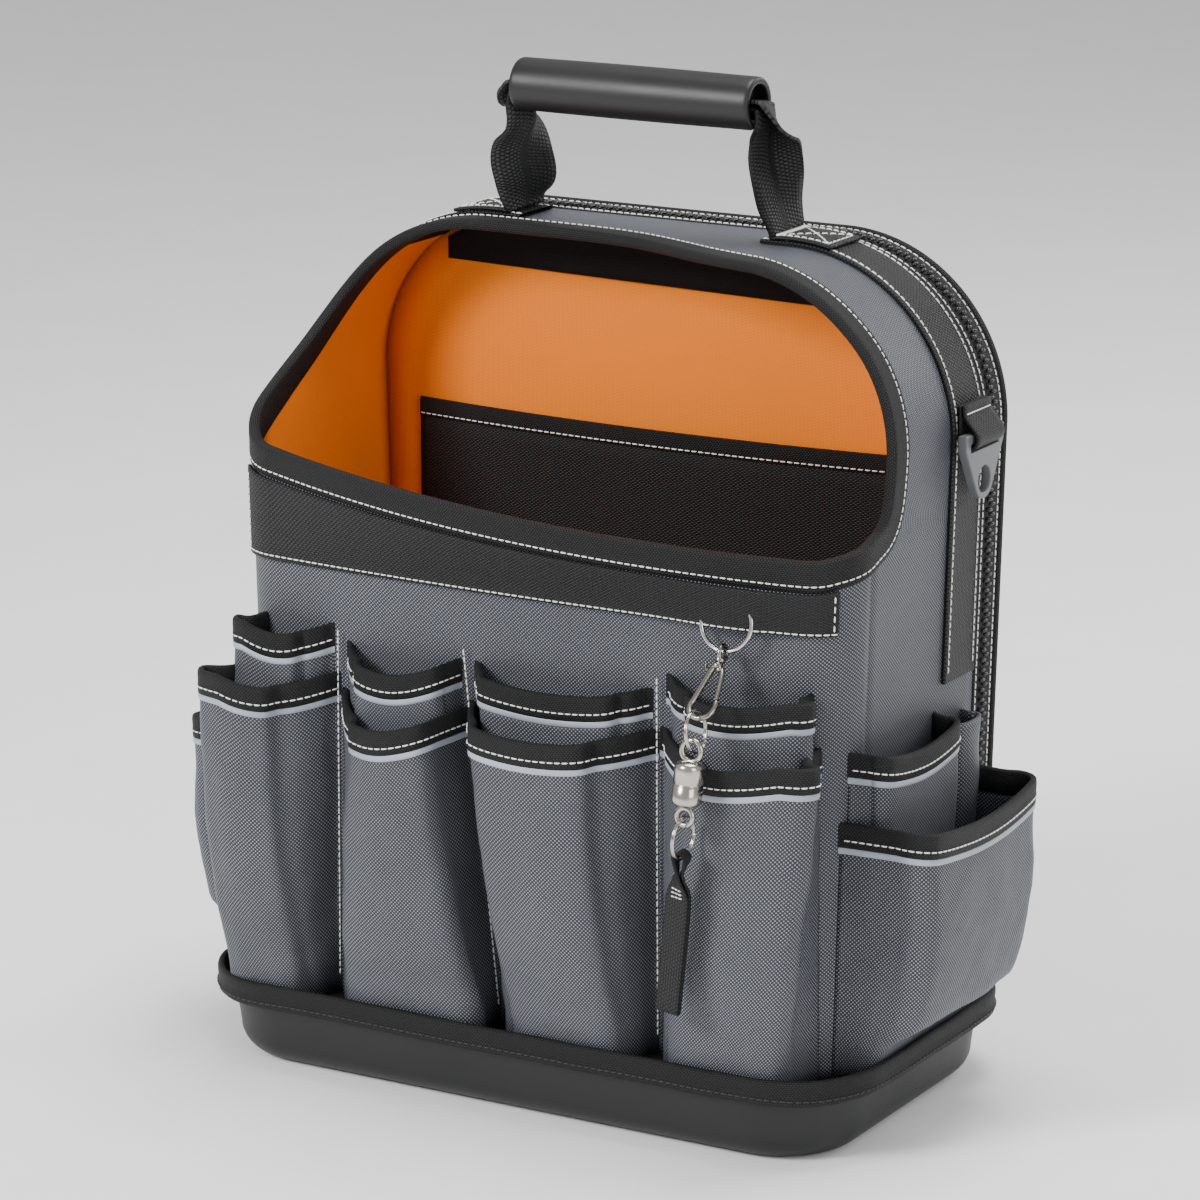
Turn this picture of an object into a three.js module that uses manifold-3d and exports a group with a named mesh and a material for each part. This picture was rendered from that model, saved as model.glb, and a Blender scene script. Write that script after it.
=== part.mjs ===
// Open top tool tote: a stiff cloth body with an arched back on a moulded foot, rows of
// pleated pockets round it, a webbing handle, two hanging D-rings and a lanyard.
// Millimetres, +Z up, origin at the middle of the foot's underside, front towards -Y.
import * as THREE from 'three';
import { mergeVertices } from 'three/addons/utils/BufferGeometryUtils.js';
import Module from 'manifold-3d';

const wasm = await Module();
wasm.setup();

// Cloth, webbing and clearances
const gap = 0.3;
const wallCloth = 2;
const liningCloth = 1;
const pocketCloth = 1.6;
const webbing = 1.6;
const bindingProud = 0.5;

// Body
const bodyWidth = 284;
const bodyHeight = 344;
const archRadius = 72;
const frontDepth = 60;
const cornerRadius = 22;
const zipperFront = 57;
const backDepth = 75;
const backCloth = 2;
const backWelt = 4;
const tuck = 6;
const frontBulge = 12;
const bulgeHeight = 55;

// Opening edge
const rimHeight = 245;
const rimTilt = 8.5;
const rimCurl = 3.5;
const rimRun = 50;
const rimBinding = 12;

// Moulded foot
const footWidth = 292;
const footDepth = 166;
const footRadius = 38;
const footHeight = 27;
const footEdge = 12;
const footDraft = 2;
const footWall = 3;
const floorThick = 2.4;
const weltWidth = 306;
const weltDepth = 174;
const weltHeight = 10;
const weltThick = 2.4;

// Front band and the pull of the lanyard on it
const bandBottom = 211;
const bandEnd = 17;
const bandPull = 3.4;
const bandPullWidth = 24;

// Pockets
const upperTop = 188;
const lowerTop = 167;
const upperOut = 17;
const lowerOut = 31;
const pocketBinding = 10;
const pocketCorner = 9;
const pocketDip = 4;
const legPleat = 2;
const cornerReach = 6;
const cornerFlare = 15;
const sideUpperTop = 163;
const sideLowerTop = 135;
const sideRearTop = 168;
const sideUpperOut = 15;
const sideLowerOut = 38;
const sideRearOut = 12;
const sideFront = 50;
const sideSeam = 23;
const sideBack = 52;
const sidePull = 8;

// Inside
const liningBackThick = 1.6;
const liningSplit = 342;
const innerPocketTop = 258;
const innerPocketOut = 9;
const innerPocketInset = 12;

// Side straps, handle and D-rings
const strapWidth = 27;
const strapCentre = 41;
const strapBottom = 173;
const strapTopX = 60;
const gripLength = 110;
const gripOuter = 22;
const gripBore = 16;
const gripSlot = 0.45;
const gripHeight = 400;
const gripBack = 28;
const webInGrip = 14.6;
const anchorLength = 26;
const ringWidth = 34;
const ringDrop = 26;
const ringThick = 4;
const ringBar = 4;
const ringTip = 8;
const ringHole = 11;
const ringAboveArch = 2;
const ringPlay = 0.6;
const loopWidth = 24;
const loopTail = 13;

// Zipper
const coilWidth = 6;
const coilHeight = 1.5;
const zipperEnd = 60;
const sliderLength = 12;
const sliderWidth = 9;
const sliderHeight = 3;

// Lanyard. Its chain hangs from the big ring's lowest point through these places, each one
// where two pieces meet, down to the end of the tape. They are shares of the lanyard's
// length, from the big ring's middle: right, out and down.
const lanyardX = 93;
const lanyardLength = 149.5;
const bigRingHeight = 213.5;
const bigRingRadius = 11;
const bigRingWire = 0.9;
const bigRingTilt = 0.2;
const lanyardPlaces = [
  { right: 0.0067, out: 0.1508, down: 0.2007 },
  { right: 0.0167, out: 0.2144, down: 0.2876 },
  { right: 0.0107, out: 0.2378, down: 0.4582 },
  { right: 0.0013, out: 0.2378, down: 0.5719 },
  { right: -0.0515, out: 0.211, down: 1 },
];
const splitWire = 1.1;
const hookWidth = 13;
const hookThick = 3;
const hookBar = 2;
const hookEye = 3;
const hookNeck = 2.2;
const hookCollar = 4.4;
const couplingRadius = 6;
const couplingBody = 15;
const couplingNeck = 4.5;
const couplingHole = 3.2;
const couplingFootHole = 2.2;
const couplingEye = 3.4;
const tapeWidth = 10;
const tapeTopWidth = 5.4;
const tapeCloth = 1.2;
const tapeLoop = 2.6;
const tapeSplit = 0.95;
const tapeTurned = 0.28;
const tapeShares = [0.12, 0.2, 0.28, 0.6, 1];
const lanyardPlay = 0.8;

// Sizes that follow from those above
const halfWidth = bodyWidth / 2;
const archStraight = bodyHeight - archRadius;
const archArc = archRadius * Math.PI / 2;
const ringAxisHeight = archStraight + ringAboveArch;
const archHalf = archStraight + archArc + halfWidth - archRadius;
const cornerBack = cornerRadius - frontDepth;
const cornerArc = cornerRadius * Math.PI / 2;
const frontHalf = halfWidth - cornerRadius;
const frontMiddle = cornerBack - cornerArc - frontHalf;
const floorTop = footHeight + gap + floorThick;
const wallFoot = floorTop + gap;
const innerFace = wallCloth + gap + liningCloth;

const colours = {
  rubber: [0x17181a, 0.75, 0],
  nylon: [0x5d6069, 0.85, 0],
  webbing: [0x141415, 0.9, 0],
  orange: [0xf0741c, 0.8, 0],
  lining: [0x16161a, 0.9, 0],
  grip: [0x1b1b1d, 0.5, 0],
  plastic: [0x6c7077, 0.45, 0],
  nickel: [0xb9b7b2, 0.25, 1],
  zipper: [0x101012, 0.5, 0],
};

const tote = new THREE.Group();

function addPiece(name, geometry, colour) {
  const [hex, roughness, metalness] = colours[colour];
  const material = new THREE.MeshStandardMaterial({ color: hex, roughness, metalness });
  const mesh = new THREE.Mesh(geometry, material);
  mesh.name = name;
  tote.add(mesh);
  return mesh;
}

// General shape helpers

function clamp01(value) {
  return Math.min(1, Math.max(0, value));
}

function smooth(value) {
  const t = clamp01(value);
  return t * t * (3 - 2 * t);
}

function steps(from, to, count) {
  return Array.from({ length: count + 1 }, (unused, i) => from + (to - from) * i / count);
}

function geometryFrom(points, faces) {
  let volume = 0;
  for (const [a, b, c] of faces) {
    volume += points[a].dot(points[b].clone().cross(points[c]));
  }
  const turned = volume < 0 ? faces.map(([a, b, c]) => [a, c, b]) : faces;
  const geometry = new THREE.BufferGeometry();
  geometry.setAttribute('position', new THREE.Float32BufferAttribute(
    points.flatMap((p) => [p.x, p.y, p.z]), 3));
  geometry.setIndex(turned.flat());
  geometry.computeVertexNormals();
  return geometry;
}

// A thick sheet: two skins of the same grid, closed along its edges. A loop joins its last
// row to its first one.
function thickSheet(outer, inner, loop = false) {
  const rows = outer.length;
  const cols = outer[0].length;
  const at = (skin, r, c) => skin * rows * cols + (r % rows) * cols + c;
  const faces = [];
  const quad = (a, b, c, d) => faces.push([a, b, c], [a, c, d]);
  const lastRow = loop ? rows : rows - 1;
  for (let r = 0; r < lastRow; r += 1) {
    for (let c = 0; c + 1 < cols; c += 1) {
      quad(at(0, r, c), at(0, r + 1, c), at(0, r + 1, c + 1), at(0, r, c + 1));
      quad(at(1, r, c), at(1, r, c + 1), at(1, r + 1, c + 1), at(1, r + 1, c));
    }
    quad(at(0, r, cols - 1), at(0, r + 1, cols - 1), at(1, r + 1, cols - 1), at(1, r, cols - 1));
    quad(at(1, r, 0), at(1, r + 1, 0), at(0, r + 1, 0), at(0, r, 0));
  }
  if (!loop) {
    for (let c = 0; c + 1 < cols; c += 1) {
      quad(at(0, 0, c), at(0, 0, c + 1), at(1, 0, c + 1), at(1, 0, c));
      quad(at(1, rows - 1, c), at(1, rows - 1, c + 1), at(0, rows - 1, c + 1), at(0, rows - 1, c));
    }
  }
  return geometryFrom([...outer.flat(), ...inner.flat()], faces);
}

// A stack of closed rings with its two ends capped.
function stack(rings) {
  const count = rings[0].length;
  const faces = [];
  for (let r = 0; r + 1 < rings.length; r += 1) {
    for (let i = 0; i < count; i += 1) {
      const j = (i + 1) % count;
      const [a, b] = [r * count + i, r * count + j];
      faces.push([a, b, b + count], [a, b + count, a + count]);
    }
  }
  const last = (rings.length - 1) * count;
  for (let i = 1; i + 1 < count; i += 1) {
    faces.push([0, i + 1, i], [last, last + i, last + i + 1]);
  }
  return geometryFrom(rings.flat(), faces);
}

function roundedRing(halfX, halfY, radius, z, perCorner = 5) {
  const ring = [];
  for (let corner = 0; corner < 4; corner += 1) {
    const sx = corner === 0 || corner === 3 ? 1 : -1;
    const sy = corner < 2 ? 1 : -1;
    for (const turn of steps(0, Math.PI / 2, perCorner)) {
      const angle = corner * Math.PI / 2 + turn;
      ring.push(new THREE.Vector3(
        sx * (halfX - radius) + radius * Math.cos(angle),
        sy * (halfY - radius) + radius * Math.sin(angle),
        z));
    }
  }
  return ring;
}

function lookUp(rows, value) {
  let i = 1;
  while (i < rows.length - 1 && rows[i][0] < value) {
    i += 1;
  }
  const [x0, y0] = rows[i - 1];
  const [x1, y1] = rows[i];
  return y0 + (y1 - y0) * (value - x0) / (x1 - x0);
}

function solidOf(geometry) {
  const bare = geometry.clone();
  bare.deleteAttribute('normal');
  bare.deleteAttribute('uv');
  const merged = mergeVertices(bare, 1e-4);
  return new wasm.Manifold(new wasm.Mesh({
    numProp: 3,
    vertProperties: new Float32Array(merged.attributes.position.array),
    triVerts: new Uint32Array(merged.index.array),
  }));
}

function geometryOf(solid) {
  const mesh = solid.getMesh();
  const geometry = new THREE.BufferGeometry();
  geometry.setAttribute('position', new THREE.Float32BufferAttribute(mesh.vertProperties, 3));
  geometry.setIndex(Array.from(mesh.triVerts));
  geometry.computeVertexNormals();
  return geometry;
}

// The body's wall. On the sides and the top, a is the way up along the arch and h is the
// place in depth. Round the front corner h goes on as the way along the wall.

function tuckAt(z) {
  return tuck * clamp01((archStraight - z) / (archStraight - wallFoot));
}

function archAt(a) {
  if (a <= archStraight) {
    return { x: halfWidth - tuckAt(a), z: a, nx: 1, nz: 0 };
  }
  if (a < archStraight + archArc) {
    const turn = (a - archStraight) / archRadius;
    return {
      x: halfWidth - archRadius + archRadius * Math.cos(turn),
      z: archStraight + archRadius * Math.sin(turn),
      nx: Math.cos(turn),
      nz: Math.sin(turn),
    };
  }
  return { x: archHalf - a, z: bodyHeight, nx: 0, nz: 1 };
}

function bulgeAt(x, z) {
  const across = clamp01(1 - (x / frontHalf) ** 2);
  return frontBulge * across * smooth((z - rimHeight + bulgeHeight) / bulgeHeight);
}

function wallAt(side, h, a, out = 0) {
  if (h >= cornerBack) {
    const p = archAt(a);
    return new THREE.Vector3(side * (p.x + out * p.nx), h, p.z + out * p.nz);
  }
  const turn = Math.min((cornerBack - h) / cornerRadius, Math.PI / 2);
  const along = Math.max(0, cornerBack - cornerArc - h);
  const reach = cornerRadius + out;
  const x = halfWidth - tuckAt(a) - cornerRadius + reach * Math.cos(turn) - along;
  const y = cornerBack - reach * Math.sin(turn) - bulgeAt(x, a);
  return new THREE.Vector3(side * x, y, a);
}

// Opening edge. back is a share of rimRun behind the front corner, and rise is a share of
// the way from the front rim up to the middle of the top.
const rimTable = {
  right: [
    { back: 0, rise: 0.005 },
    { back: 0.26, rise: 0.043 },
    { back: 0.34, rise: 0.176 },
    { back: 0.38, rise: 0.314 },
    { back: 0.38, rise: 0.433 },
    { back: 0.42, rise: 0.552 },
    { back: 0.51, rise: 0.66 },
    { back: 0.66, rise: 0.78 },
  ],
  left: [
    { back: 0, rise: 0.13 },
    { back: 0.62, rise: 0.23 },
    { back: 0.92, rise: 0.338 },
    { back: 0.99, rise: 0.476 },
    { back: 1.02, rise: 0.6 },
    { back: 1.05, rise: 0.73 },
  ],
};

function rimPoint(row) {
  return [cornerBack + row.back * rimRun, rimHeight + row.rise * (archHalf - rimHeight)];
}

function frontRim(side, share) {
  const s = side * share;
  return rimHeight - rimTilt * s + rimCurl * s * s;
}

function rimControls(side) {
  const rows = (side > 0 ? rimTable.right : rimTable.left).map(rimPoint);
  const others = (side > 0 ? rimTable.left : rimTable.right).map(rimPoint);
  const [farBack, farRise] = others[others.length - 1];
  const cornerRim = frontRim(side, 1);
  return [
    [frontMiddle - frontHalf / 2, frontRim(side, -0.5)],
    [frontMiddle, frontRim(side, 0)],
    [frontMiddle + frontHalf / 2, frontRim(side, 0.5)],
    [frontMiddle + frontHalf, cornerRim],
    [cornerBack - cornerArc / 2, cornerRim + 0.3 * (rows[0][1] - cornerRim)],
    ...rows,
    [cornerBack + rimRun, archHalf],
    [farBack, 2 * archHalf - farRise],
  ];
}

function rimLine(side, inset) {
  const controls = rimControls(side).map(([h, a]) => new THREE.Vector2(h, a));
  const curve = new THREE.SplineCurve(controls);
  const spans = controls.length - 1;
  const perSpan = 2;
  return steps(1, spans - 1, (spans - 2) * perSpan).map((span) => {
    const p = curve.getPoint(span / spans);
    const before = curve.getPoint((span - 0.02) / spans);
    const after = curve.getPoint((span + 0.02) / spans);
    const along = after.sub(before).normalize();
    return [p.x + along.y * inset, p.y - along.x * inset];
  });
}

const edgeInset = rimBinding + gap;
const innerRim = { 1: rimLine(1, edgeInset), '-1': rimLine(-1, edgeInset) };

// The cloth's free edge on one side, cut where the front panel meets the gusset.
function clothEdge(side) {
  const line = innerRim[side];
  const cut = line.findIndex(([h]) => h > cornerBack);
  const [h0, a0] = line[cut - 1];
  const [h1, a1] = line[cut];
  const seam = a0 + (a1 - a0) * (cornerBack - h0) / (h1 - h0);
  return {
    front: [...line.slice(0, cut), [cornerBack, seam]],
    side: [[cornerBack + gap, seam], ...line.slice(cut)],
  };
}

// Stations along the arch from the right foot over the top to the left foot.

function archStations(from, arcSteps = 7) {
  const half = [
    ...steps(from, from + (archStraight - from) * 0.2, 2),
    archStraight - (archStraight - from) * 0.3,
    ...steps(archStraight, archStraight + archArc, arcSteps),
  ].map((a) => ({ side: 1, a }));
  return [...half, ...half.map(({ a }) => ({ side: -1, a })).reverse()];
}

// The gusset's stations: its front edge at h and its way up the arch at a.
function gussetStations() {
  const half = (side) => {
    return [[cornerBack + gap, wallFoot], ...clothEdge(side).side]
      .map(([h, a]) => ({ side, h, a }));
  };
  return [...half(1), ...half(-1).slice(0, -1).reverse()];
}

// Walls

function frontStations() {
  const half = (side) => clothEdge(side).front.map(([h, top]) => ({ side, h, top }));
  return [...half(-1).slice(1).reverse(), ...half(1)];
}

function addFrontWall(name, colour, outerOut, innerOut) {
  const bulgeFoot = rimHeight - bulgeHeight;
  const heights = (top) => [
    wallFoot,
    bulgeFoot,
    (bulgeFoot + bandBottom) / 2,
    bandBottom,
    (bandBottom + top) / 2,
    top,
  ];
  const skin = (out) => frontStations().map(({ side, h, top }) => (
    heights(top).map((z) => wallAt(side, h, z, out))));
  addPiece(name, thickSheet(skin(outerOut), skin(innerOut)), colour);
}

function addArchSheet(name, colour, stations, end, outerOut, innerOut) {
  const skin = (out) => stations.map(({ side, h, a }) => [
    wallAt(side, h, a, out),
    wallAt(side, end, a, out),
  ]);
  addPiece(name, thickSheet(skin(outerOut), skin(innerOut)), colour);
}

// The stations between two places on the arch, given as the way up it on one side.
function cutStations(stations, side, from, to) {
  const own = stations.filter((s) => s.side === side && s.a > from + 1 && s.a < to - 1);
  const ordered = side > 0 ? own : [...own].reverse();
  const edgeAt = (a) => {
    const line = stations.filter((s) => s.side === side).map((s) => [s.a, s.h]);
    return { side, h: lookUp(side > 0 ? line : line.reverse(), a), a };
  };
  return [edgeAt(from), ...ordered, edgeAt(to)];
}

function addWalls() {
  const liningOut = -wallCloth - gap;
  const liningBack = zipperFront - liningBackThick - 2 * gap;
  const stations = gussetStations();
  addFrontWall('front_panel', 'nylon', 0, -wallCloth);
  addFrontWall('lining_front', 'orange', liningOut, -innerFace);
  addArchSheet('gusset', 'nylon', stations, zipperFront, 0, -wallCloth);
  for (const [word, side] of [['right', 1], ['left', -1]]) {
    const line = cutStations(stations, side, wallFoot, liningSplit - gap)
      .map((s) => ({ ...s, h: s.h + liningCloth }));
    addArchSheet(`lining_${word}`, 'orange', line, liningBack, liningOut, -innerFace);
  }
  const topHalf = (side) => cutStations(stations, side, liningSplit, archHalf);
  const top = [...topHalf(1), ...topHalf(-1).slice(0, -1).reverse()];
  addArchSheet('lining_top', 'lining', top, liningBack, liningOut, -innerFace);
}

function archOutline(inset, foot) {
  const outline = archStations(foot).map(({ side, a }) => {
    const p = archAt(a);
    return new THREE.Vector2(side * (p.x - inset * p.nx), p.z - inset * p.nz);
  });
  return new THREE.Shape(outline);
}

// A plate in the arch's outline, from its front face at y backwards.
function archPlate(inset, foot, y, thick) {
  const plate = new THREE.ExtrudeGeometry(archOutline(inset, foot),
    { depth: thick, bevelEnabled: false });
  plate.rotateX(Math.PI / 2);
  plate.translate(0, y + thick, 0);
  return plate;
}

function addBack() {
  const middle = (zipperFront + backDepth) / 2;
  const along = (from, h) => archStations(from).map((s) => ({ ...s, h }));
  const aboveWelt = footHeight + weltHeight + 4 * gap;
  addArchSheet('zipper_tape', 'webbing', along(wallFoot, zipperFront + gap), backDepth - gap,
    0, -webbing);
  addArchSheet('zipper_coil', 'zipper', along(zipperEnd, middle - coilWidth / 2),
    middle + coilWidth / 2, gap + coilHeight, gap);
  addArchSheet('back_binding', 'webbing', along(aboveWelt, backDepth), backDepth + backWelt,
    bindingProud, -wallCloth);
  const slider = new THREE.BoxGeometry(sliderHeight, sliderWidth, sliderLength);
  slider.translate(-archAt(zipperEnd).x - gap - sliderHeight / 2, middle,
    zipperEnd - gap - sliderLength / 2);
  addPiece('zipper_slider', slider, 'zipper');
  addPiece('back_panel', archPlate(wallCloth + gap, wallFoot, backDepth + gap, backCloth), 'nylon');
  const liningFront = zipperFront - gap - liningBackThick;
  addPiece('lining_back', archPlate(wallCloth + 3 * gap, wallFoot, liningFront, liningBackThick),
    'orange');
}

function addInnerPocket() {
  const back = zipperFront - 2 * gap - liningBackThick;
  const halfSpan = halfWidth - tuck - innerFace - innerPocketInset;
  const shares = [0, 0.5, 0.85, 1];
  const skin = (offset) => steps(-halfSpan, halfSpan, 8).map((x) => shares.map((share) => {
    const crown = clamp01(1 - (x / halfSpan) ** 2);
    const out = innerPocketOut * crown * share ** 2 + offset;
    return new THREE.Vector3(x, back - out, wallFoot + share * (innerPocketTop - wallFoot));
  }));
  addPiece('inner_pocket', thickSheet(skin(pocketCloth), skin(0)), 'lining');
}

function addOpeningBinding() {
  const edges = { 1: rimLine(1, 0), '-1': rimLine(-1, 0) };
  const inners = { 1: rimLine(1, rimBinding), '-1': rimLine(-1, rimBinding) };
  const skin = (out) => {
    const half = (side) => edges[side].map(([h, a], i) => [
      wallAt(side, h, a, out),
      wallAt(side, ...inners[side][i], out),
    ]);
    return [...half(1), ...half(-1).slice(1, -1).reverse()];
  };
  addPiece('opening_binding', thickSheet(skin(bindingProud), skin(-innerFace), true), 'webbing');
}

// Moulded foot, floor and the welt that binds them

function addFoot() {
  const halfX = footWidth / 2;
  const halfY = footDepth / 2;
  const ring = (inset, z, floorInset = 0) => roundedRing(halfX - inset, halfY - inset,
    footRadius - Math.min(inset, footRadius / 2) + floorInset, z);
  const edge = (radius, lift, inset) => steps(0, Math.PI / 2, 4).map((turn) => ring(
    inset + footDraft + radius * (1 - Math.sin(turn)),
    lift + radius * (1 - Math.cos(turn))));
  const outer = [...edge(footEdge, 0, 0), ring(0, footHeight)];
  const inner = [...edge(footEdge - footWall, footWall, footWall), ring(footWall, footHeight)];
  addPiece('base_tub', stack([...outer, ...inner.reverse()]), 'rubber');
  const weltInner = (inset, z) => roundedRing(weltWidth / 2 - inset, weltDepth / 2 - inset,
    footRadius + 2 - inset, z);
  const floorInset = weltThick + gap;
  addPiece('floor_panel', stack([
    weltInner(floorInset, footHeight + gap),
    weltInner(floorInset, floorTop),
  ]), 'lining');
  const weltSkin = (inset) => {
    const low = weltInner(inset, footHeight);
    const high = weltInner(inset, footHeight + weltHeight);
    return low.map((p, i) => [p, high[i]]);
  };
  addPiece('base_binding', thickSheet(weltSkin(0), weltSkin(weltThick), true), 'webbing');
}

// Pockets. A section runs from one seam on the wall, out along a leg with its pleat, across
// the front and back to the other seam.

function sectionLine(spec, row, offset) {
  const out = row.out;
  const radius = Math.min(pocketCorner, out * 0.45);
  const left = spec.left + row.pullLeft;
  const right = spec.right - row.pullRight;
  const pleat = spec.pleat * Math.min(1, out / spec.out);
  const line = [
    [spec.left, 0],
    [(spec.left + left) / 2 + pleat, out * 0.5],
  ];
  for (const turn of steps(0, Math.PI / 2, 2)) {
    line.push([left + radius * (1 - Math.cos(turn)), out - radius * (1 - Math.sin(turn))]);
  }
  for (const t of [0.25, 0.5, 0.75]) {
    const u = left + radius + (right - left - 2 * radius) * t;
    line.push([u, out + row.crown * 4 * t * (1 - t)]);
  }
  for (const turn of steps(Math.PI / 2, 0, 2)) {
    line.push([right - radius * (1 - Math.cos(turn)), out - radius * (1 - Math.sin(turn))]);
  }
  line.push([(spec.right + right) / 2 - pleat, out * 0.5]);
  line.push([spec.right, 0]);
  return line.map(([u, o], i) => {
    const [u0, o0] = line[Math.max(0, i - 1)];
    const [u1, o1] = line[Math.min(line.length - 1, i + 1)];
    const length = Math.hypot(u1 - u0, o1 - o0);
    return [u - (o1 - o0) / length * offset, o + (u1 - u0) / length * offset];
  });
}

function sectionPoints(spec, row, offset, lift) {
  const line = sectionLine(spec, row, offset);
  return line.map(([u, out], i) => {
    const share = clamp01((u - spec.left) / (spec.right - spec.left));
    const z = row.z - row.dip * Math.sin(Math.PI * share) + lift;
    const end = i === 0 || i === line.length - 1;
    return spec.place(u, end ? spec.drop(u, z) + gap : out, z);
  });
}

// The way that a pocket stands out, from its floor to its hem: rise is a share of its
// height, out and crown shares of its stand-out, pull a share of its pull-in at the foot.
// The first two rows are its floor and the top of the welt round the foot.
const pocketRows = [
  { rise: 0, out: 0.66, crown: 0, pull: 1 },
  { rise: 0, out: 0.7, crown: 0, pull: 1 },
  { rise: 0.25, out: 0.9, crown: 0.04, pull: 0.7 },
  { rise: 0.6, out: 1, crown: 0.06, pull: 0.3 },
  { rise: 1, out: 0.94, crown: 0.05, pull: 0 },
];

function pocketRow(spec, row, i, hem) {
  const foot = [spec.foot, footHeight + weltHeight + 2 * gap][Math.min(i, 1)];
  const standOut = spec.out * row.out;
  return {
    z: foot + row.rise * (hem - foot),
    out: i < 2 ? Math.min(standOut, spec.footOut) : standOut,
    crown: row.crown * spec.out,
    dip: row.rise * spec.dip,
    pullLeft: spec.inset + spec.pullLeft * row.pull - spec.flareLeft * (1 - row.pull),
    pullRight: spec.inset + spec.pullRight * row.pull - spec.flareRight * (1 - row.pull),
  };
}

function addPocket(name, spec) {
  const hem = spec.top - pocketBinding - gap;
  const rows = pocketRows.map((row, i) => pocketRow(spec, row, i, hem));
  const floorBack = { ...rows[0], out: 2 * pocketCloth + 4 * gap, pullLeft: 1, pullRight: 1 };
  const skin = (offset, lift) => [
    sectionPoints(spec, floorBack, offset, lift),
    ...rows.map((row, i) => sectionPoints(spec, row, offset, i === 0 ? lift : 0)),
  ];
  addPiece(name, thickSheet(skin(0, 0), skin(-pocketCloth, pocketCloth)), 'nylon');
  const hemRow = rows[rows.length - 1];
  const band = (offset) => [hem + gap, spec.top].map((z) => (
    sectionPoints(spec, { ...hemRow, z }, offset, 0)));
  if (spec.bound) {
    addPiece(`${name}_binding`,
      thickSheet(band(bindingProud), band(-pocketCloth - bindingProud)), 'webbing');
  }
}

// Drop of the wall behind a pocket's plane where the body's corner turns away.
function cornerDrop(beyond) {
  const turned = Math.min(Math.max(0, beyond), cornerRadius * 0.98);
  return Math.sqrt(cornerRadius ** 2 - turned ** 2) - cornerRadius;
}

// Front columns: seams and tops as shares of the panel's width and of the rows' heights,
// pulls as shares of the column's width.
const columns = [
  { left: 0, right: 0.187, upper: 1, lower: 1.005, dip: 0.8, pullLeft: -0.15, pullRight: 0.1 },
  { left: 0.187, right: 0.401, upper: 0.965, lower: 0.967, dip: 1.2, pullLeft: 0.04, pullRight: 0.06 },
  { left: 0.401, right: 0.711, upper: 0.963, lower: 0.985, dip: 0.3, pullLeft: 0.26, pullRight: 0.03 },
  { left: 0.711, right: 1, upper: 1, lower: 0.995, dip: 1.3, pullLeft: 0.03, pullRight: 0.1 },
];

// An upper pocket nests in the lower one: its seams and floor keep clear of the lower
// pocket's cloth and binding.
const nest = pocketCloth + bindingProud + 2 * gap;
const nestFoot = wallFoot + pocketCloth + 2 * gap;
const upperShare = upperOut / lowerOut;

function addFrontPockets() {
  const reach = halfWidth - tuck - cornerReach;
  const place = (u, out, z) => new THREE.Vector3(u, -frontDepth - out, z);
  const drop = (u, z) => cornerDrop(Math.abs(u) - frontHalf + tuckAt(z));
  const footOut = weltDepth / 2 - weltThick - frontDepth - 3 * gap;
  const seam = (share) => -halfWidth + share * bodyWidth;
  columns.forEach((column, i) => {
    const left = Math.max(seam(column.left), -reach) + gap + bindingProud;
    const right = Math.min(seam(column.right), reach) - gap - bindingProud;
    const width = right - left;
    const shared = { place, drop, bound: true, dip: pocketDip * column.dip, pleat: legPleat };
    addPocket(`pocket_lower_${i + 1}`, {
      ...shared,
      left,
      right,
      foot: wallFoot,
      top: lowerTop * column.lower,
      out: lowerOut,
      footOut,
      inset: legPleat / 2,
      pullLeft: width * column.pullLeft,
      pullRight: width * column.pullRight,
      flareLeft: i === 0 ? cornerFlare : 0,
      flareRight: i === columns.length - 1 ? cornerFlare : 0,
    });
    addPocket(`pocket_upper_${i + 1}`, {
      ...shared,
      left: left + nest,
      right: right - nest,
      foot: nestFoot,
      top: upperTop * column.upper,
      out: upperOut,
      footOut: upperOut / 2,
      inset: legPleat,
      pullLeft: width * column.pullLeft * upperShare,
      pullRight: width * column.pullRight * upperShare,
      flareLeft: i === 0 ? cornerFlare / 3 : 0,
      flareRight: i === columns.length - 1 ? cornerFlare / 3 : 0,
    });
  });
}

function addSidePockets() {
  const drop = (u) => cornerDrop(cornerBack - u);
  const footOut = weltWidth / 2 - weltThick - halfWidth + tuck - 3 * gap;
  const still = { pullLeft: 2, pullRight: 2, flareLeft: 0, flareRight: 0 };
  for (const [word, side] of [['right', 1], ['left', -1]]) {
    const place = (u, out, z) => new THREE.Vector3(side * (halfWidth - tuckAt(z) + out), u, z);
    const shared = { place, drop, pleat: legPleat, bound: true, dip: pocketDip };
    addPocket(`pocket_${word}_lower`, {
      ...shared,
      ...still,
      left: -sideFront,
      right: sideBack,
      foot: wallFoot,
      top: sideLowerTop,
      out: sideLowerOut,
      footOut,
      inset: legPleat / 2,
      pullRight: sidePull,
    });
    addPocket(`pocket_${word}_upper`, {
      ...shared,
      ...still,
      left: -sideFront + nest,
      right: sideSeam,
      foot: nestFoot,
      top: sideUpperTop,
      out: sideUpperOut,
      footOut: footOut / 2,
      inset: legPleat,
    });
    addPocket(`pocket_${word}_rear`, {
      ...shared,
      ...still,
      left: sideSeam + bindingProud + gap,
      right: sideBack - nest,
      foot: nestFoot,
      top: sideRearTop,
      out: sideRearOut,
      footOut: footOut / 2,
      inset: legPleat,
      pullRight: sidePull,
      dip: 0,
      bound: false,
    });
  }
}

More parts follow.
